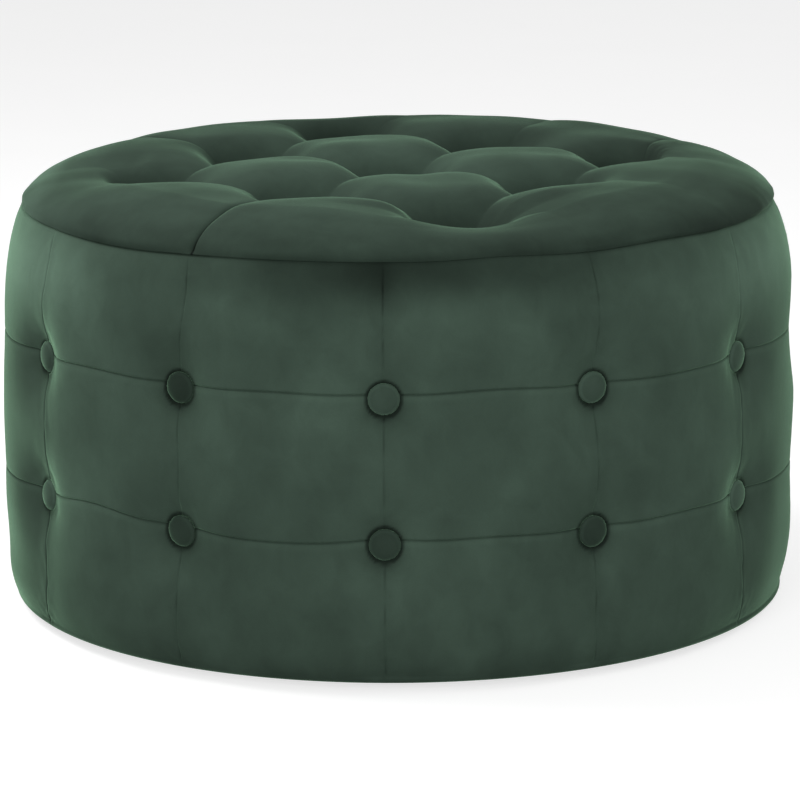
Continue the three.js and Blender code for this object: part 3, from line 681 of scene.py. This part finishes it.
def top_surface(x, y, ride, relief, depth):
    """Points of the top from places in plan. ride goes from 0, on the flat crown, to 1, at the
    seam, along the rounded edge; relief is the depth below the pads' crests."""
    angle = np.arctan2(y, x)
    world = angle + TUFT_TURN + math.pi / 2
    out = np.hypot(x, y)
    tilt = ride * math.pi / 2
    run = CORNER_RUN * np.sin(tilt) ** (2 / CORNER_POWER)
    radius = np.where(ride > 0, SEAM_RADIUS - CORNER_RUN + run, out)
    height = edge_height(ride)
    # the envelope bellies out a little above the seam, and meets it at the seam's own dip
    belly = BELLY * np.sin(climb(ride, BELLY_START, 1 - BELLY_START) * math.pi) ** BELLY_POWER
    last = eased(climb(ride, MEETING, 1 - MEETING))
    inward = (relief - belly) * (1 - last) + seam_dip(world) * last
    reach = tuft_reach(x, y)
    quiet = climb(reach, BUTTON_RADIUS, 10.0) * (1 - last)
    inward = inward - gathers(x, y, ride, reach) * quiet
    for middle, width, drop in SAGS:
        sag = drop * bell(degrees_from(middle, world), width)
        inward = inward + sag * (1 - last) * np.clip(out / 120.0 - 1, 0, 1)
    beyond = np.maximum(out - TUFT_PITCH * math.sqrt(2), 0)
    drawn = climb(beyond, -6.0, 24.0) * (1 - eased(climb(ride, 0, 0.9)))
    for middle, width, drop in RIM_DRAWS:
        inward = inward + drop * drawn * bell(degrees_from(middle, world), width)
    radius = radius - inward * np.sin(tilt)
    height = height - inward * np.cos(tilt)
    # the tufts pull everything down to their buttons' seats
    corner = np.round(2 * angle / math.pi - 0.5).astype(int) % 4
    reach = np.hypot(reach, np.array(OUTWARD_ENDS)[corner] * (beyond + EDGE_ADDS * ride))
    pull = bell(np.maximum(reach - PULL_SEAT, 0), PULL_REACH - PULL_SEAT, PULL_POWER)
    height = height + pull * (CROWN_RISE - TUFT_DEPTH - height)
    radius = radius - depth * np.sin(tilt)
    height = height - depth * np.cos(tilt) + SEAM_HEIGHT + SEAM_GAP + seam_stray(world) * ride**2
    return np.stack([radius * np.cos(angle), radius * np.sin(angle), height], -1)


def top_painted_light(x, y, ride, relief):
    """Painted light and shade on the top, with a little random tone in the nap. The broad shades go by how
    far right and back a point lies, in mm.
    """
    spots = np.stack([x, y, 200.0 * ride], -1)
    turn = np.arctan2(y, x) + TUFT_TURN
    out = np.hypot(x, y)
    right, back = out * np.cos(turn), out * np.sin(turn)
    edge = np.where(ride > 0, SEAM_RADIUS - CORNER_RUN * (1 - np.sin(ride * math.pi / 2)), out)
    edge_right = edge * np.cos(turn)
    # painted shade in the tufts' hollows, in the folds and along the seam, darker down the rounded edge,
    # and painted light on the middle pads
    nap_and_painted_light = 1 - 0.34 * bell(np.maximum(tuft_reach(x, y) - 12.0, 0), 30.0)
    nap_and_painted_light -= 0.10 * climb(relief, 0, CREASE)
    nap_and_painted_light -= seam_shade(turn + math.pi / 2) * bell((1 - ride) * EDGE_LENGTH, TOP_LINE_WIDTH)
    nap_and_painted_light -= 0.34 * climb(ride, 0.45, 0.55)
    nap_and_painted_light += 0.32 * bell(out, 170.0)
    # painted light at the two far ends of the edge and on the left of the rim
    nap_and_painted_light += 0.9 * climb(edge_right, 338.0, 20.0) + 0.7 * climb(-edge_right, 325.0, 20.0)
    nap_and_painted_light += 0.6 * climb(-right, 210.0, 60.0) * climb(ride, 0.4, 0.3)
    # painted shade on the right, on the right of the front, at the back and on the left of the crown
    nap_and_painted_light -= 0.08 * climb(right, -60.0, 300.0) + 0.27 * climb(right, 190.0, 130.0)
    nap_and_painted_light -= 0.16 * bell(right - 90.0, 110.0) * climb(-back, 200.0, 100.0)
    nap_and_painted_light -= 0.2 * climb(back, 60.0, 160.0) + 0.14 * climb(-right, 160.0, 100.0)
    nap_and_painted_light += 0.05 * unevenness(spots, 34, 30.0, 90.0) + 0.04 * unevenness(spots, 35, 90.0, 300.0)
    return np.clip(nap_and_painted_light, 0.25, 1.7)


def pillow_cells(steps):
    """The four pads between the tufts: places in plan, ride and relief of each."""
    a, b = np.meshgrid(steps, steps, indexing="ij")
    crease = CREASE * (1 - fullness(a, CREASE_POWER) * fullness(b, CREASE_POWER))
    relief = CREASE_SHARE * crease + DOME * (1 - fullness(a, 2) * fullness(b, 2))
    for column in (-1, 0):
        for row in (-1, 0):
            yield (column + a) * TUFT_PITCH, (row + b) * TUFT_PITCH, 0 * a, relief


def rim_cell(side, start, end, column, steps, edge_end):
    """One cell between tufts and seam, over one column of the side: places in plan, ride, relief, a
    crisp fold's depth and the shade painted along the folds."""
    half = steps[steps <= 0.5]
    crown = np.concatenate([half, np.linspace(0.5, 1, 12)[1:]])
    edge = np.linspace(0, edge_end, 34)[1:]
    k, b = np.meshgrid(np.arange(len(crown) + len(edge)), steps, indexing="ij")
    ride = np.concatenate([0 * crown, edge])[k]
    flat = np.concatenate([crown, 1 + 0 * edge])[k]
    out = np.concatenate([crown * 0.5, 0.5 + edge * 0.5])[k]
    folds = [(60 + 30 * (column + at) + 90 * side) % 360 for at in (0, 1)]
    angle = (column + b) * COLUMN_ANGLE
    for at, azimuth in enumerate(folds):
        near = (1 - (b - at) ** 2) * bell(b - at, 0.5)
        angle = angle + math.radians(PLEAT_TURNS.get(azimuth, 0.0)) * near
    inner_x = TUFT_PITCH * (start[0] + b * (end[0] - start[0]))
    inner_y = TUFT_PITCH * (start[1] + b * (end[1] - start[1]))
    ring = SEAM_RADIUS - CORNER_RUN
    x = inner_x + flat * (ring * np.cos(angle) - inner_x)
    y = inner_y + flat * (ring * np.sin(angle) - inner_y)
    # some folds stay down to the seam, and the others fade out on the way
    ends = [PLEATS.get(azimuth, (0.0, 0.0, 0.0)) for azimuth in folds]
    left, sharp, dark = [np.where(b < 0.5, *pair) for pair in zip(*ends)]
    fade = np.clip((4.0 - 0.55 * left) * out, 0, 1)
    pleat = CREASE + (left - CREASE) * fade**0.8
    width = SEAM_RADIUS * COLUMN_ANGLE * (0.3 + 0.7 * out if column == 1 else 1)
    to_pleat = np.minimum(b, 1 - b) * width
    crisp = sharp * np.exp(-to_pleat / 2.4) * np.clip(1.5 * flat, 0, 1)
    rising = fullness(flat * 0.5, CREASE_POWER)
    crease = CREASE * (1 - rising) + rising * pleat * np.abs(2 * b - 1) ** CREASE_POWER
    dome = DOME * (1 - fullness(flat * 0.5, 2) * fullness(b, 2)) * (1 - out) ** 2
    spun = turned(np.stack([x, y, 0 * x], -1), side * math.pi / 2)
    # painted shade along each fold
    shade = dark * bell(to_pleat, PLEAT_LINE) * flat
    return spun[..., 0], spun[..., 1], ride, CREASE_SHARE * crease + dome, crisp, shade


def seam_rings(edge, closing):
    """The rings that follow a cell's edge: the turned-in allowance, or the foam's rim and bottom.
    Those near the seam stray up and down with it."""
    outward = edge[:, :2] / np.linalg.norm(edge[:, :2], axis=1, keepdims=True)
    stray = seam_stray(np.arctan2(edge[:, 1:2], edge[:, 0:1]) + TUFT_TURN + math.pi / 2)
    rings = [edge]
    for radius, height in closing:
        level = height + stray * (radius > SEAM_RADIUS - 20.0)
        rings.append(np.concatenate([outward * radius, level], 1))
    return np.array(rings)


# The rim's cells in each quarter: tufts that its inner edge runs between, and its column
RIM_CELLS = (((1, -1), (1, 0), -1), ((1, 0), (1, 1), 0), ((1, 1), (1, 1), 1))


def top_sheet(name, depth, fabric, nodes, finest=1.6, coarsest=8.0, edge_end=1.0,
              closing=()):
    """The top's surface, set inwards by a depth. edge_end is where it ends along the rounded edge,
    and closing the rest of a solid's section."""
    points, faces, nap_and_light_parts = [], [], []

    def patch(grid, nap_and_painted_light):
        start = sum(len(p) for p in points)
        points.append(grid.reshape(-1, 3))
        nap_and_light_parts.append(nap_and_painted_light.ravel())
        faces.extend(grid_faces(*grid.shape[:2], start))

    steps = spread_steps(TUFT_PITCH, finest, coarsest)
    for x, y, ride, relief in pillow_cells(steps):
        patch(top_surface(x, y, ride, relief, depth), top_painted_light(x, y, ride, relief))
    for side in range(4):
        for start, end, column in RIM_CELLS:
            x, y, ride, relief, crisp, shade = rim_cell(side, start, end, column, steps, edge_end)
            grid = top_surface(x, y, ride, relief + crisp, depth)
            patch(grid, top_painted_light(x, y, ride, relief) - shade)
            rings = seam_rings(grid[-1], closing)
            # the turned-in rings are painted half as bright: shade inside the seam
            patch(rings, np.full(rings.shape[:2], 0.5))
    made = turned(np.concatenate(points), TUFT_TURN)
    piece = new_mesh(name, made, faces, fabric, nodes)
    store_nap_and_light(piece, np.concatenate(nap_and_light_parts))
    weld(piece)
    return piece


top_velvet = top_sheet("top_velvet", 0.0, velvet_top, ["top_cover"],
                       closing=[(SEAM_RADIUS - ALLOWANCE / 2, SEAM_HEIGHT + SEAM_GAP),
                                (SEAM_RADIUS - ALLOWANCE, SEAM_HEIGHT + SEAM_GAP)])
thicken(top_velvet, VELVET_THICKNESS)

TOP_WADDING = 5.8        # the seat foam starts this far inside the velvet's face
FOAM_RIM = SEAM_HEIGHT + 3.0
top_padding = top_sheet("top_padding", TOP_WADDING, foam, ["top_foam"], finest=4.0,
                        coarsest=12.0, edge_end=0.88,
                        closing=[(SEAM_RADIUS - ALLOWANCE - 2.0, FOAM_RIM), (DECK_RADIUS, FOAM_RIM),
                                 (DECK_RADIUS, DECK_TOP), (0.0, DECK_TOP)])


# Covered buttons, each with its tie and the washer behind the board
# A button's section: radii and heights in mm, from the middle of its face to its back
BUTTON_SECTION = (
    (0.0, 8.4), (3.0, 8.32), (6.0, 8.0), (9.0, 7.25), (11.2, 6.3), (12.8, 5.2), (13.8, 4.3),
    (14.25, 3.5), (14.2, 2.7), (13.4, 1.6), (12.2, 0.7), (11.4, 0.2), (10.0, 0.0),
)
TIE_RADIUS = 1.2
WASHER_RADIUS, WASHER_THICKNESS, WASHER_GAP = 9.0, 1.6, 0.6
BUTTON_SIDES = 48
RIPPLES = (7, 11, 16, 21)  # waves round a button's edge, where the velvet is gathered behind it
LEAN = 2.5                 # how far a button leans in its seat, in degrees
TOP_BUTTON_TONE = 0.75


def button_piece(name, seed, middle, outward, tie_depth, tone):
    """A button in its seat, facing outward. tone is how bright it shows, partly its nap and partly painted
    light and shade; its rim gets a painted highlight.
    """
    rng = np.random.default_rng(seed)
    front = -tie_depth - WASHER_GAP
    back = front - WASHER_THICKNESS
    profile = list(BUTTON_SECTION) + [(TIE_RADIUS, 0.0), (TIE_RADIUS, front)]
    profile += [(WASHER_RADIUS, front), (WASHER_RADIUS, back), (0.0, back)]
    phases = rng.uniform(0, 2 * math.pi, len(RIPPLES))
    points, painted_rim_light = [(0.0, 0.0, profile[0][1])], [1.0]
    for r, h in profile[1:-1]:
        for k in range(BUTTON_SIDES):
            a = 2 * math.pi * k / BUTTON_SIDES
            rim = max(0.0, min(1.0, (r - 10.0) / 3.0)) if h > 0.1 else 0.0
            ripple = rim * sum(math.sin(n * a + phase) for n, phase in zip(RIPPLES, phases))
            wide = r + 0.06 * ripple
            points.append((wide * math.cos(a), wide * math.sin(a), h + 0.05 * ripple))
            # a painted highlight on the button's rim
            painted_rim_light.append(1.0 + 0.3 * (r > 12.0 and h > 3.0))
    points.append((0.0, 0.0, back))
    painted_rim_light.append(1.0)
    around = [(k, (k + 1) % BUTTON_SIDES) for k in range(BUTTON_SIDES)]
    faces = [(0, 1 + a, 1 + b) for a, b in around]
    last = len(points) - 1 - BUTTON_SIDES
    for ring in range(1, last, BUTTON_SIDES):
        beyond = ring + BUTTON_SIDES
        faces += [(ring + a, beyond + a, beyond + b, ring + b) for a, b in around]
    faces += [(last + a, len(points) - 1, last + b) for a, b in around]
    tilt = Matrix.Rotation(math.radians(rng.uniform(-LEAN, LEAN)), 4, "X")
    tilt = tilt @ Matrix.Rotation(math.radians(rng.uniform(-LEAN, LEAN)), 4, "Y")
    turn = Vector((0, 0, 1)).rotation_difference(Vector(outward)).to_matrix().to_4x4()
    spin = Matrix.Rotation(rng.uniform(0, 2 * math.pi), 4, "Z")
    move = Matrix.Translation(Vector(middle) + Vector(outward) * SEAT_GAP) @ turn @ tilt @ spin
    points = [tuple(move @ Vector(p)) for p in points]
    piece = new_mesh(name + "_velvet", points, faces, velvet_button, [name])
    store_nap_and_light(piece, tone * np.array(painted_rim_light))


# How bright each side button shows, partly its nap and partly painted light and shade, from the front
# column round to the right
BUTTON_TONES = {
    "lower": (0.58, 0.54, 1.3, 0.8, 0.7, 0.9, 0.75, 0.85, 0.7, 0.9, 1.08, 0.54),
    "upper": (0.90, 0.92, 1.05, 0.75, 0.85, 0.7, 0.9, 0.75, 0.85, 0.7, 0.95, 0.44),
}
for row, height, seed in (("lower", LOWER_ROW, 100), ("upper", UPPER_ROW, 150)):
    seat = float(crest_radius(np.array(height))) - SIDE_PAD_RISE - SIDE_DENT
    for column, tone in enumerate(BUTTON_TONES[row]):
        azimuth = column * COLUMN_ANGLE
        outward = (math.sin(azimuth), -math.cos(azimuth), 0.0)
        middle = (seat * outward[0], seat * outward[1], height)
        name = f"side_button_{row}_{column + 1}"
        button_piece(name, seed + column, middle, outward, seat - WALL_BACK, tone)

seat = SEAM_HEIGHT + CROWN_RISE - TUFT_DEPTH
for number in range(9):
    row, column = divmod(number, 3)
    spot = np.array([(column - 1) * TUFT_PITCH, (row - 1) * TUFT_PITCH, seat])
    button_piece(f"top_button_{number + 1}", 301 + number, tuple(turned(spot, TUFT_TURN)), (0, 0, 1),
                 seat - DECK_BACK, TOP_BUTTON_TONE)


# The drum, the glides and the dust cover
def wood_material(name, tones, along, rings, ply=0.0):
    """Planed or cut wood: grain stretched along one direction, pores, and glue lines in plywood."""
    paint = Paint(name)
    at = paint.coordinates(tuple(0.06 if axis == along else 1.0 for axis in range(3)))
    grain = paint.noise(at, rings, 5.0, 0.6, 1.6)
    pores = paint.noise(at, rings * 12.0, 3.0, 0.7)
    colour = paint.ramp(grain, (0.3, tones[0]), (0.5, tones[1]), (0.72, tones[2]))
    colour = paint.times(0.7, colour, paint.ramp(pores, (0.35, 0.72), (0.55, 1.0)))
    if ply:
        layers = paint.tree.nodes.new("ShaderNodeTexWave")
        layers.bands_direction = "Z"
        layers.inputs["Scale"].default_value = ply
        layers.inputs["Distortion"].default_value = 0.3
        paint.tree.links.new(paint.coordinates(), layers.inputs["Vector"])
        glue = paint.ramp(layers.outputs["Fac"], (0.1, (0.5, 0.4, 0.3)), (0.35, 1.0))
        colour = paint.times(0.6, colour, glue)
    paint.put("Base Color", colour)
    paint.put("Roughness", 0.72)
    paint.put("Normal", paint.bump(pores, 0.25, 0.0004))
    return paint.material


def fibreboard_material():
    """Hardboard: a matted brown with darker fibres."""
    paint = Paint("fibreboard")
    at = paint.coordinates()
    fibre = paint.noise(at, 420.0, 6.0, 0.75, 0.8)
    patches = paint.noise(at, 14.0, 3.0)
    colour = paint.ramp(fibre, (0.3, (0.10, 0.055, 0.028)), (0.6, (0.21, 0.12, 0.06)))
    paint.put("Base Color", paint.times(0.8, colour, paint.ramp(patches, (0.3, 0.85), (0.7, 1.1))))
    paint.put("Roughness", 0.8)
    paint.put("Normal", paint.bump(fibre, 0.2, 0.0003))
    return paint.material


def nonwoven_material():
    """Spun black dust cloth: a lattice of small pressed points on matted fibre."""
    paint = Paint("nonwoven")
    at = paint.coordinates()
    fibre = paint.noise(at, 700.0, 5.0, 0.7, 0.5)
    points = paint.cells(at, 420.0, 0.15)
    colour = paint.ramp(fibre, (0.3, (0.006, 0.006, 0.007)), (0.7, (0.016, 0.016, 0.018)))
    paint.put("Base Color", paint.times(0.6, colour, paint.ramp(points, (0.1, 0.5), (0.3, 1.0))))
    paint.put("Roughness", 0.9)
    paint.put("Specular IOR Level", 0.25)
    bumps = paint.bump(points, 0.4, 0.0003)
    paint.put("Normal", paint.bump(fibre, 0.4, 0.0003, bumps))
    return paint.material


def plastic_material():
    """Black moulded plastic with a fine grain and scuffs."""
    paint = Paint("moulded_plastic")
    at = paint.coordinates()
    grain = paint.noise(at, 1500.0, 2.0)
    scuffs = paint.noise(at, 120.0, 6.0, 0.7, 2.0)
    paint.put("Base Color", paint.ramp(scuffs, (0.45, (0.010, 0.010, 0.011)), (0.75, (0.03, 0.03, 0.032))))
    paint.put("Roughness", paint.ramp(scuffs, (0.3, 0.38), (0.7, 0.6)))
    paint.put("Normal", paint.bump(grain, 0.15, 0.0002))
    return paint.material


def steel_material():
    """Zinc-plated steel, slightly mottled."""
    paint = Paint("zinc_plated_steel")
    mottle = paint.noise(paint.coordinates(), 900.0, 4.0, 0.6)
    paint.put("Base Color", paint.ramp(mottle, (0.3, (0.40, 0.41, 0.42)), (0.7, (0.55, 0.55, 0.54))))
    paint.put("Roughness", paint.ramp(mottle, (0.3, 0.28), (0.7, 0.45)))
    paint.put("Metallic", 1.0)
    paint.put("Normal", paint.bump(mottle, 0.1, 0.0001))
    return paint.material


def finish_nodes(made, *names):
    """Gives a material to CAD nodes that stay as they are."""
    for name in names:
        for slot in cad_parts[name].material_slots:
            slot.material = made


BIRCH = ((0.50, 0.30, 0.13), (0.60, 0.38, 0.18), (0.68, 0.47, 0.25))
PINE = ((0.58, 0.34, 0.13), (0.70, 0.47, 0.21), (0.78, 0.57, 0.30))
FOUR = range(1, 5)
finish_nodes(wood_material("birch_plywood", BIRCH, 0, 26.0, ply=190.0), "seat_deck", "base_board")
finish_nodes(wood_material("planed_pine", PINE, 2, 42.0), *[f"frame_post_{n}" for n in FOUR])
finish_nodes(fibreboard_material(), "side_wall")
finish_nodes(plastic_material(), *[f"glide_{n}" for n in FOUR])
finish_nodes(steel_material(), *[f"glide_screw_{n}" for n in FOUR])

# The dust cloth's sizes in mm
DUST_RADIUS = float(crest_radius(np.array(HEM_HEIGHT))) - 14.0
DUST_THICKNESS = 0.35
DUST_DROP = 0.45         # its top lies at least this far below the hem
GLIDE_RADIUS, GLIDE_START = 299.6, math.radians(15)
GLIDE_HOLD = 30.0        # about how far round a glide the cloth lies flat


def dust_cloth():
    """The black cloth under the base, a disc that lies slightly unevenly between its staples."""
    rings = np.concatenate([np.linspace(0, 1, 26)[1:-2], [0.965, 0.985, 1.0]]) * DUST_RADIUS
    azimuths = np.linspace(0, 2 * math.pi, 145)[:-1]
    azimuth, radius = np.meshgrid(azimuths, rings, indexing="ij")
    flat = place(azimuth, radius, 0 * azimuth)
    loose = np.ones_like(radius)
    for n in range(4):
        glide = place(np.array(GLIDE_START + n * math.pi / 2), GLIDE_RADIUS, 0)
        away = np.linalg.norm(flat - glide, axis=-1)
        loose = np.minimum(loose, climb(away, 0.7 * GLIDE_HOLD, GLIDE_HOLD))
    from_edge = DUST_RADIUS - radius
    sag = 0.35 * (unevenness(flat, 41, 60.0, 240.0) - 0.6) * loose * (0.3 + 0.7 * climb(from_edge, 0, 30.0))
    staples = 0.25 * np.cos(azimuth * 36) * np.clip(1 - from_edge / 9.0, 0, 1)
    height = HEM_HEIGHT - DUST_DROP + np.clip(sag + np.minimum(staples, 0), -0.8, 0)
    middle = (0, 0, height[:, 0].mean())
    points = np.concatenate([place(azimuth, radius, height).reshape(-1, 3), [middle]])
    count, last = len(rings), len(points) - 1
    faces = closed_faces(len(azimuths), count)
    faces += [(last, (n + 1) % len(azimuths) * count, n * count) for n in range(len(azimuths))]
    piece = new_mesh("dust_cloth", points, faces, nonwoven_material(), ["dust_cover"])
    piece.data.flip_normals()
    thicken(piece, DUST_THICKNESS)


dust_cloth()


# Floor, backdrop, light and camera, in metres
def seen_directly(tree):
    """1 for what the camera sees, also by a reflection or through glass, and 0 for lighting."""
    ray = tree.nodes.new("ShaderNodeLightPath")
    seen = ray.outputs["Is Camera Ray"]
    for kind in ("Is Glossy Ray", "Is Transmission Ray"):
        either = tree.nodes.new("ShaderNodeMath")
        either.operation = "MAXIMUM"
        tree.links.new(seen, either.inputs[0])
        tree.links.new(ray.outputs[kind], either.inputs[1])
        seen = either.outputs["Value"]
    return seen


def add_glow(paint, strength):
    """Adds white light of its own to a material, where it is seen directly."""
    nodes, links = paint.tree.nodes, paint.tree.links
    level = nodes.new("ShaderNodeMath")
    level.operation = "MULTIPLY"
    level.inputs[1].default_value = strength
    links.new(seen_directly(paint.tree), level.inputs[0])
    glow = nodes.new("ShaderNodeEmission")
    links.new(level.outputs["Value"], glow.inputs["Strength"])
    both = nodes.new("ShaderNodeAddShader")
    links.new(paint.shader.outputs["BSDF"], both.inputs[0])
    links.new(glow.outputs["Emission"], both.inputs[1])
    links.new(both.outputs["Shader"], nodes["Material Output"].inputs["Surface"])


FLOOR_HALF, FLOOR_BACK = 14.0, 8.0
BACKDROP_BEND, BACKDROP_HEIGHT = 2.0, 6.0


def stage():
    """A pale floor that bends up into a backdrop."""
    paint = Paint("floor_paint")
    tone = paint.noise(paint.coordinates(), 3.0, 3.0)
    paint.put("Base Color", paint.ramp(tone, (0.0, 0.50), (1.0, 0.54)))
    paint.put("Roughness", 0.9)
    paint.put("Specular IOR Level", 0.0)
    add_glow(paint, 0.70)
    profile = [(-FLOOR_HALF, 0.0), (FLOOR_BACK, 0.0)]
    for a in np.linspace(0.1, math.pi / 2, 10):
        profile.append((FLOOR_BACK + BACKDROP_BEND * math.sin(a), BACKDROP_BEND * (1 - math.cos(a))))
    profile.append((FLOOR_BACK + BACKDROP_BEND, BACKDROP_HEIGHT))
    points = [(x, y, z) for y, z in profile for x in (-FLOOR_HALF, FLOOR_HALF)]
    faces = [(j, j + 1, j + 3, j + 2) for j in range(0, len(points) - 2, 2)]
    mesh = bpy.data.meshes.new("floor")
    mesh.from_pydata(points, [], faces)
    mesh.materials.append(paint.material)
    floor = bpy.data.objects.new("floor", mesh)
    bpy.context.scene.collection.objects.link(floor)


def area_light(name, spot, target, size, power):
    """A soft rectangular lamp that faces a target."""
    lamp = bpy.data.lights.new(name, "AREA")
    lamp.shape = "RECTANGLE"
    lamp.size, lamp.size_y = size
    lamp.energy = power
    made = bpy.data.objects.new(name, lamp)
    made.location = spot
    way = Vector(target) - Vector(spot)
    made.rotation_euler = way.to_track_quat("-Z", "Y").to_euler()
    bpy.context.scene.collection.objects.link(made)


def studio_world():
    """Even pale light, and plain white where the camera sees past the floor."""
    world = bpy.data.worlds.new("studio")
    world.use_nodes = True
    bpy.context.scene.world = world
    nodes, links = world.node_tree.nodes, world.node_tree.links
    ambient, white = nodes["Background"], nodes.new("ShaderNodeBackground")
    for shader, strength in ((ambient, 0.3), (white, 1.0)):
        shader.inputs["Color"].default_value = (1, 1, 1, 1)
        shader.inputs["Strength"].default_value = strength
    pick = nodes.new("ShaderNodeMixShader")
    links.new(seen_directly(world.node_tree), pick.inputs["Fac"])
    links.new(ambient.outputs["Background"], pick.inputs[1])
    links.new(white.outputs["Background"], pick.inputs[2])
    links.new(pick.outputs["Shader"], nodes["World Output"].inputs["Surface"])


stage()
area_light("overhead", (-0.6, 0.2, 2.6), (0, 0, 0.3), (2.4, 2.4), 6)
area_light("front", (0.0, -3.2, 1.2), (0, 0, 0.2), (2.8, 1.8), 55)
area_light("left", (-1.9, 0.5, 2.3), (-0.2, 0, 0.35), (1.4, 1.4), 44)
area_light("right", (2.4, 0.1, 1.8), (0.2, 0, 0.3), (1.4, 1.4), 12)
studio_world()

# The camera stands where the photograph was taken from: 12.2 degrees up, a little to the right of
# the front column of buttons, with a long lens. Angles are in radians
PHOTO_SIDE = 800         # pixels
SENSOR = 36.0            # mm
FIT_RADIUS = 0.380       # the body's radius in metres, the unit of the fitted lengths
ELEVATION, TURN, ROLL = 0.213769, 0.0355994, -0.0076415
DISTANCE, AIM = 10.076086 * FIT_RADIUS, 0.49779 * FIT_RADIUS
FOCAL_PX, CENTRE_X, CENTRE_Y = 3951.05, 398.528, 387.808


def photo_camera():
    """The photograph's camera."""
    spin = Matrix.Rotation(TURN, 3, "Z")
    back = spin @ Vector((0, -math.cos(ELEVATION), math.sin(ELEVATION)))
    up = spin @ Vector((0, math.sin(ELEVATION), math.cos(ELEVATION)))
    axes = Matrix((up.cross(back), up, back)).transposed()
    lens = bpy.data.cameras.new("photo_camera")
    lens.sensor_width = SENSOR
    lens.lens = FOCAL_PX / PHOTO_SIDE * SENSOR
    lens.shift_x = 0.5 - CENTRE_X / PHOTO_SIDE
    lens.shift_y = CENTRE_Y / PHOTO_SIDE - 0.5
    lens.clip_end = 100
    camera = bpy.data.objects.new("photo_camera", lens)
    spot = Vector((0, 0, HEM_HEIGHT * MM + AIM)) + back * DISTANCE
    roll = Matrix.Rotation(ROLL, 3, back)
    camera.matrix_world = Matrix.Translation(spot) @ (roll @ axes).to_4x4()
    bpy.context.scene.collection.objects.link(camera)
    bpy.context.scene.camera = camera


photo_camera()
bpy.context.scene.view_settings.view_transform = "Standard"
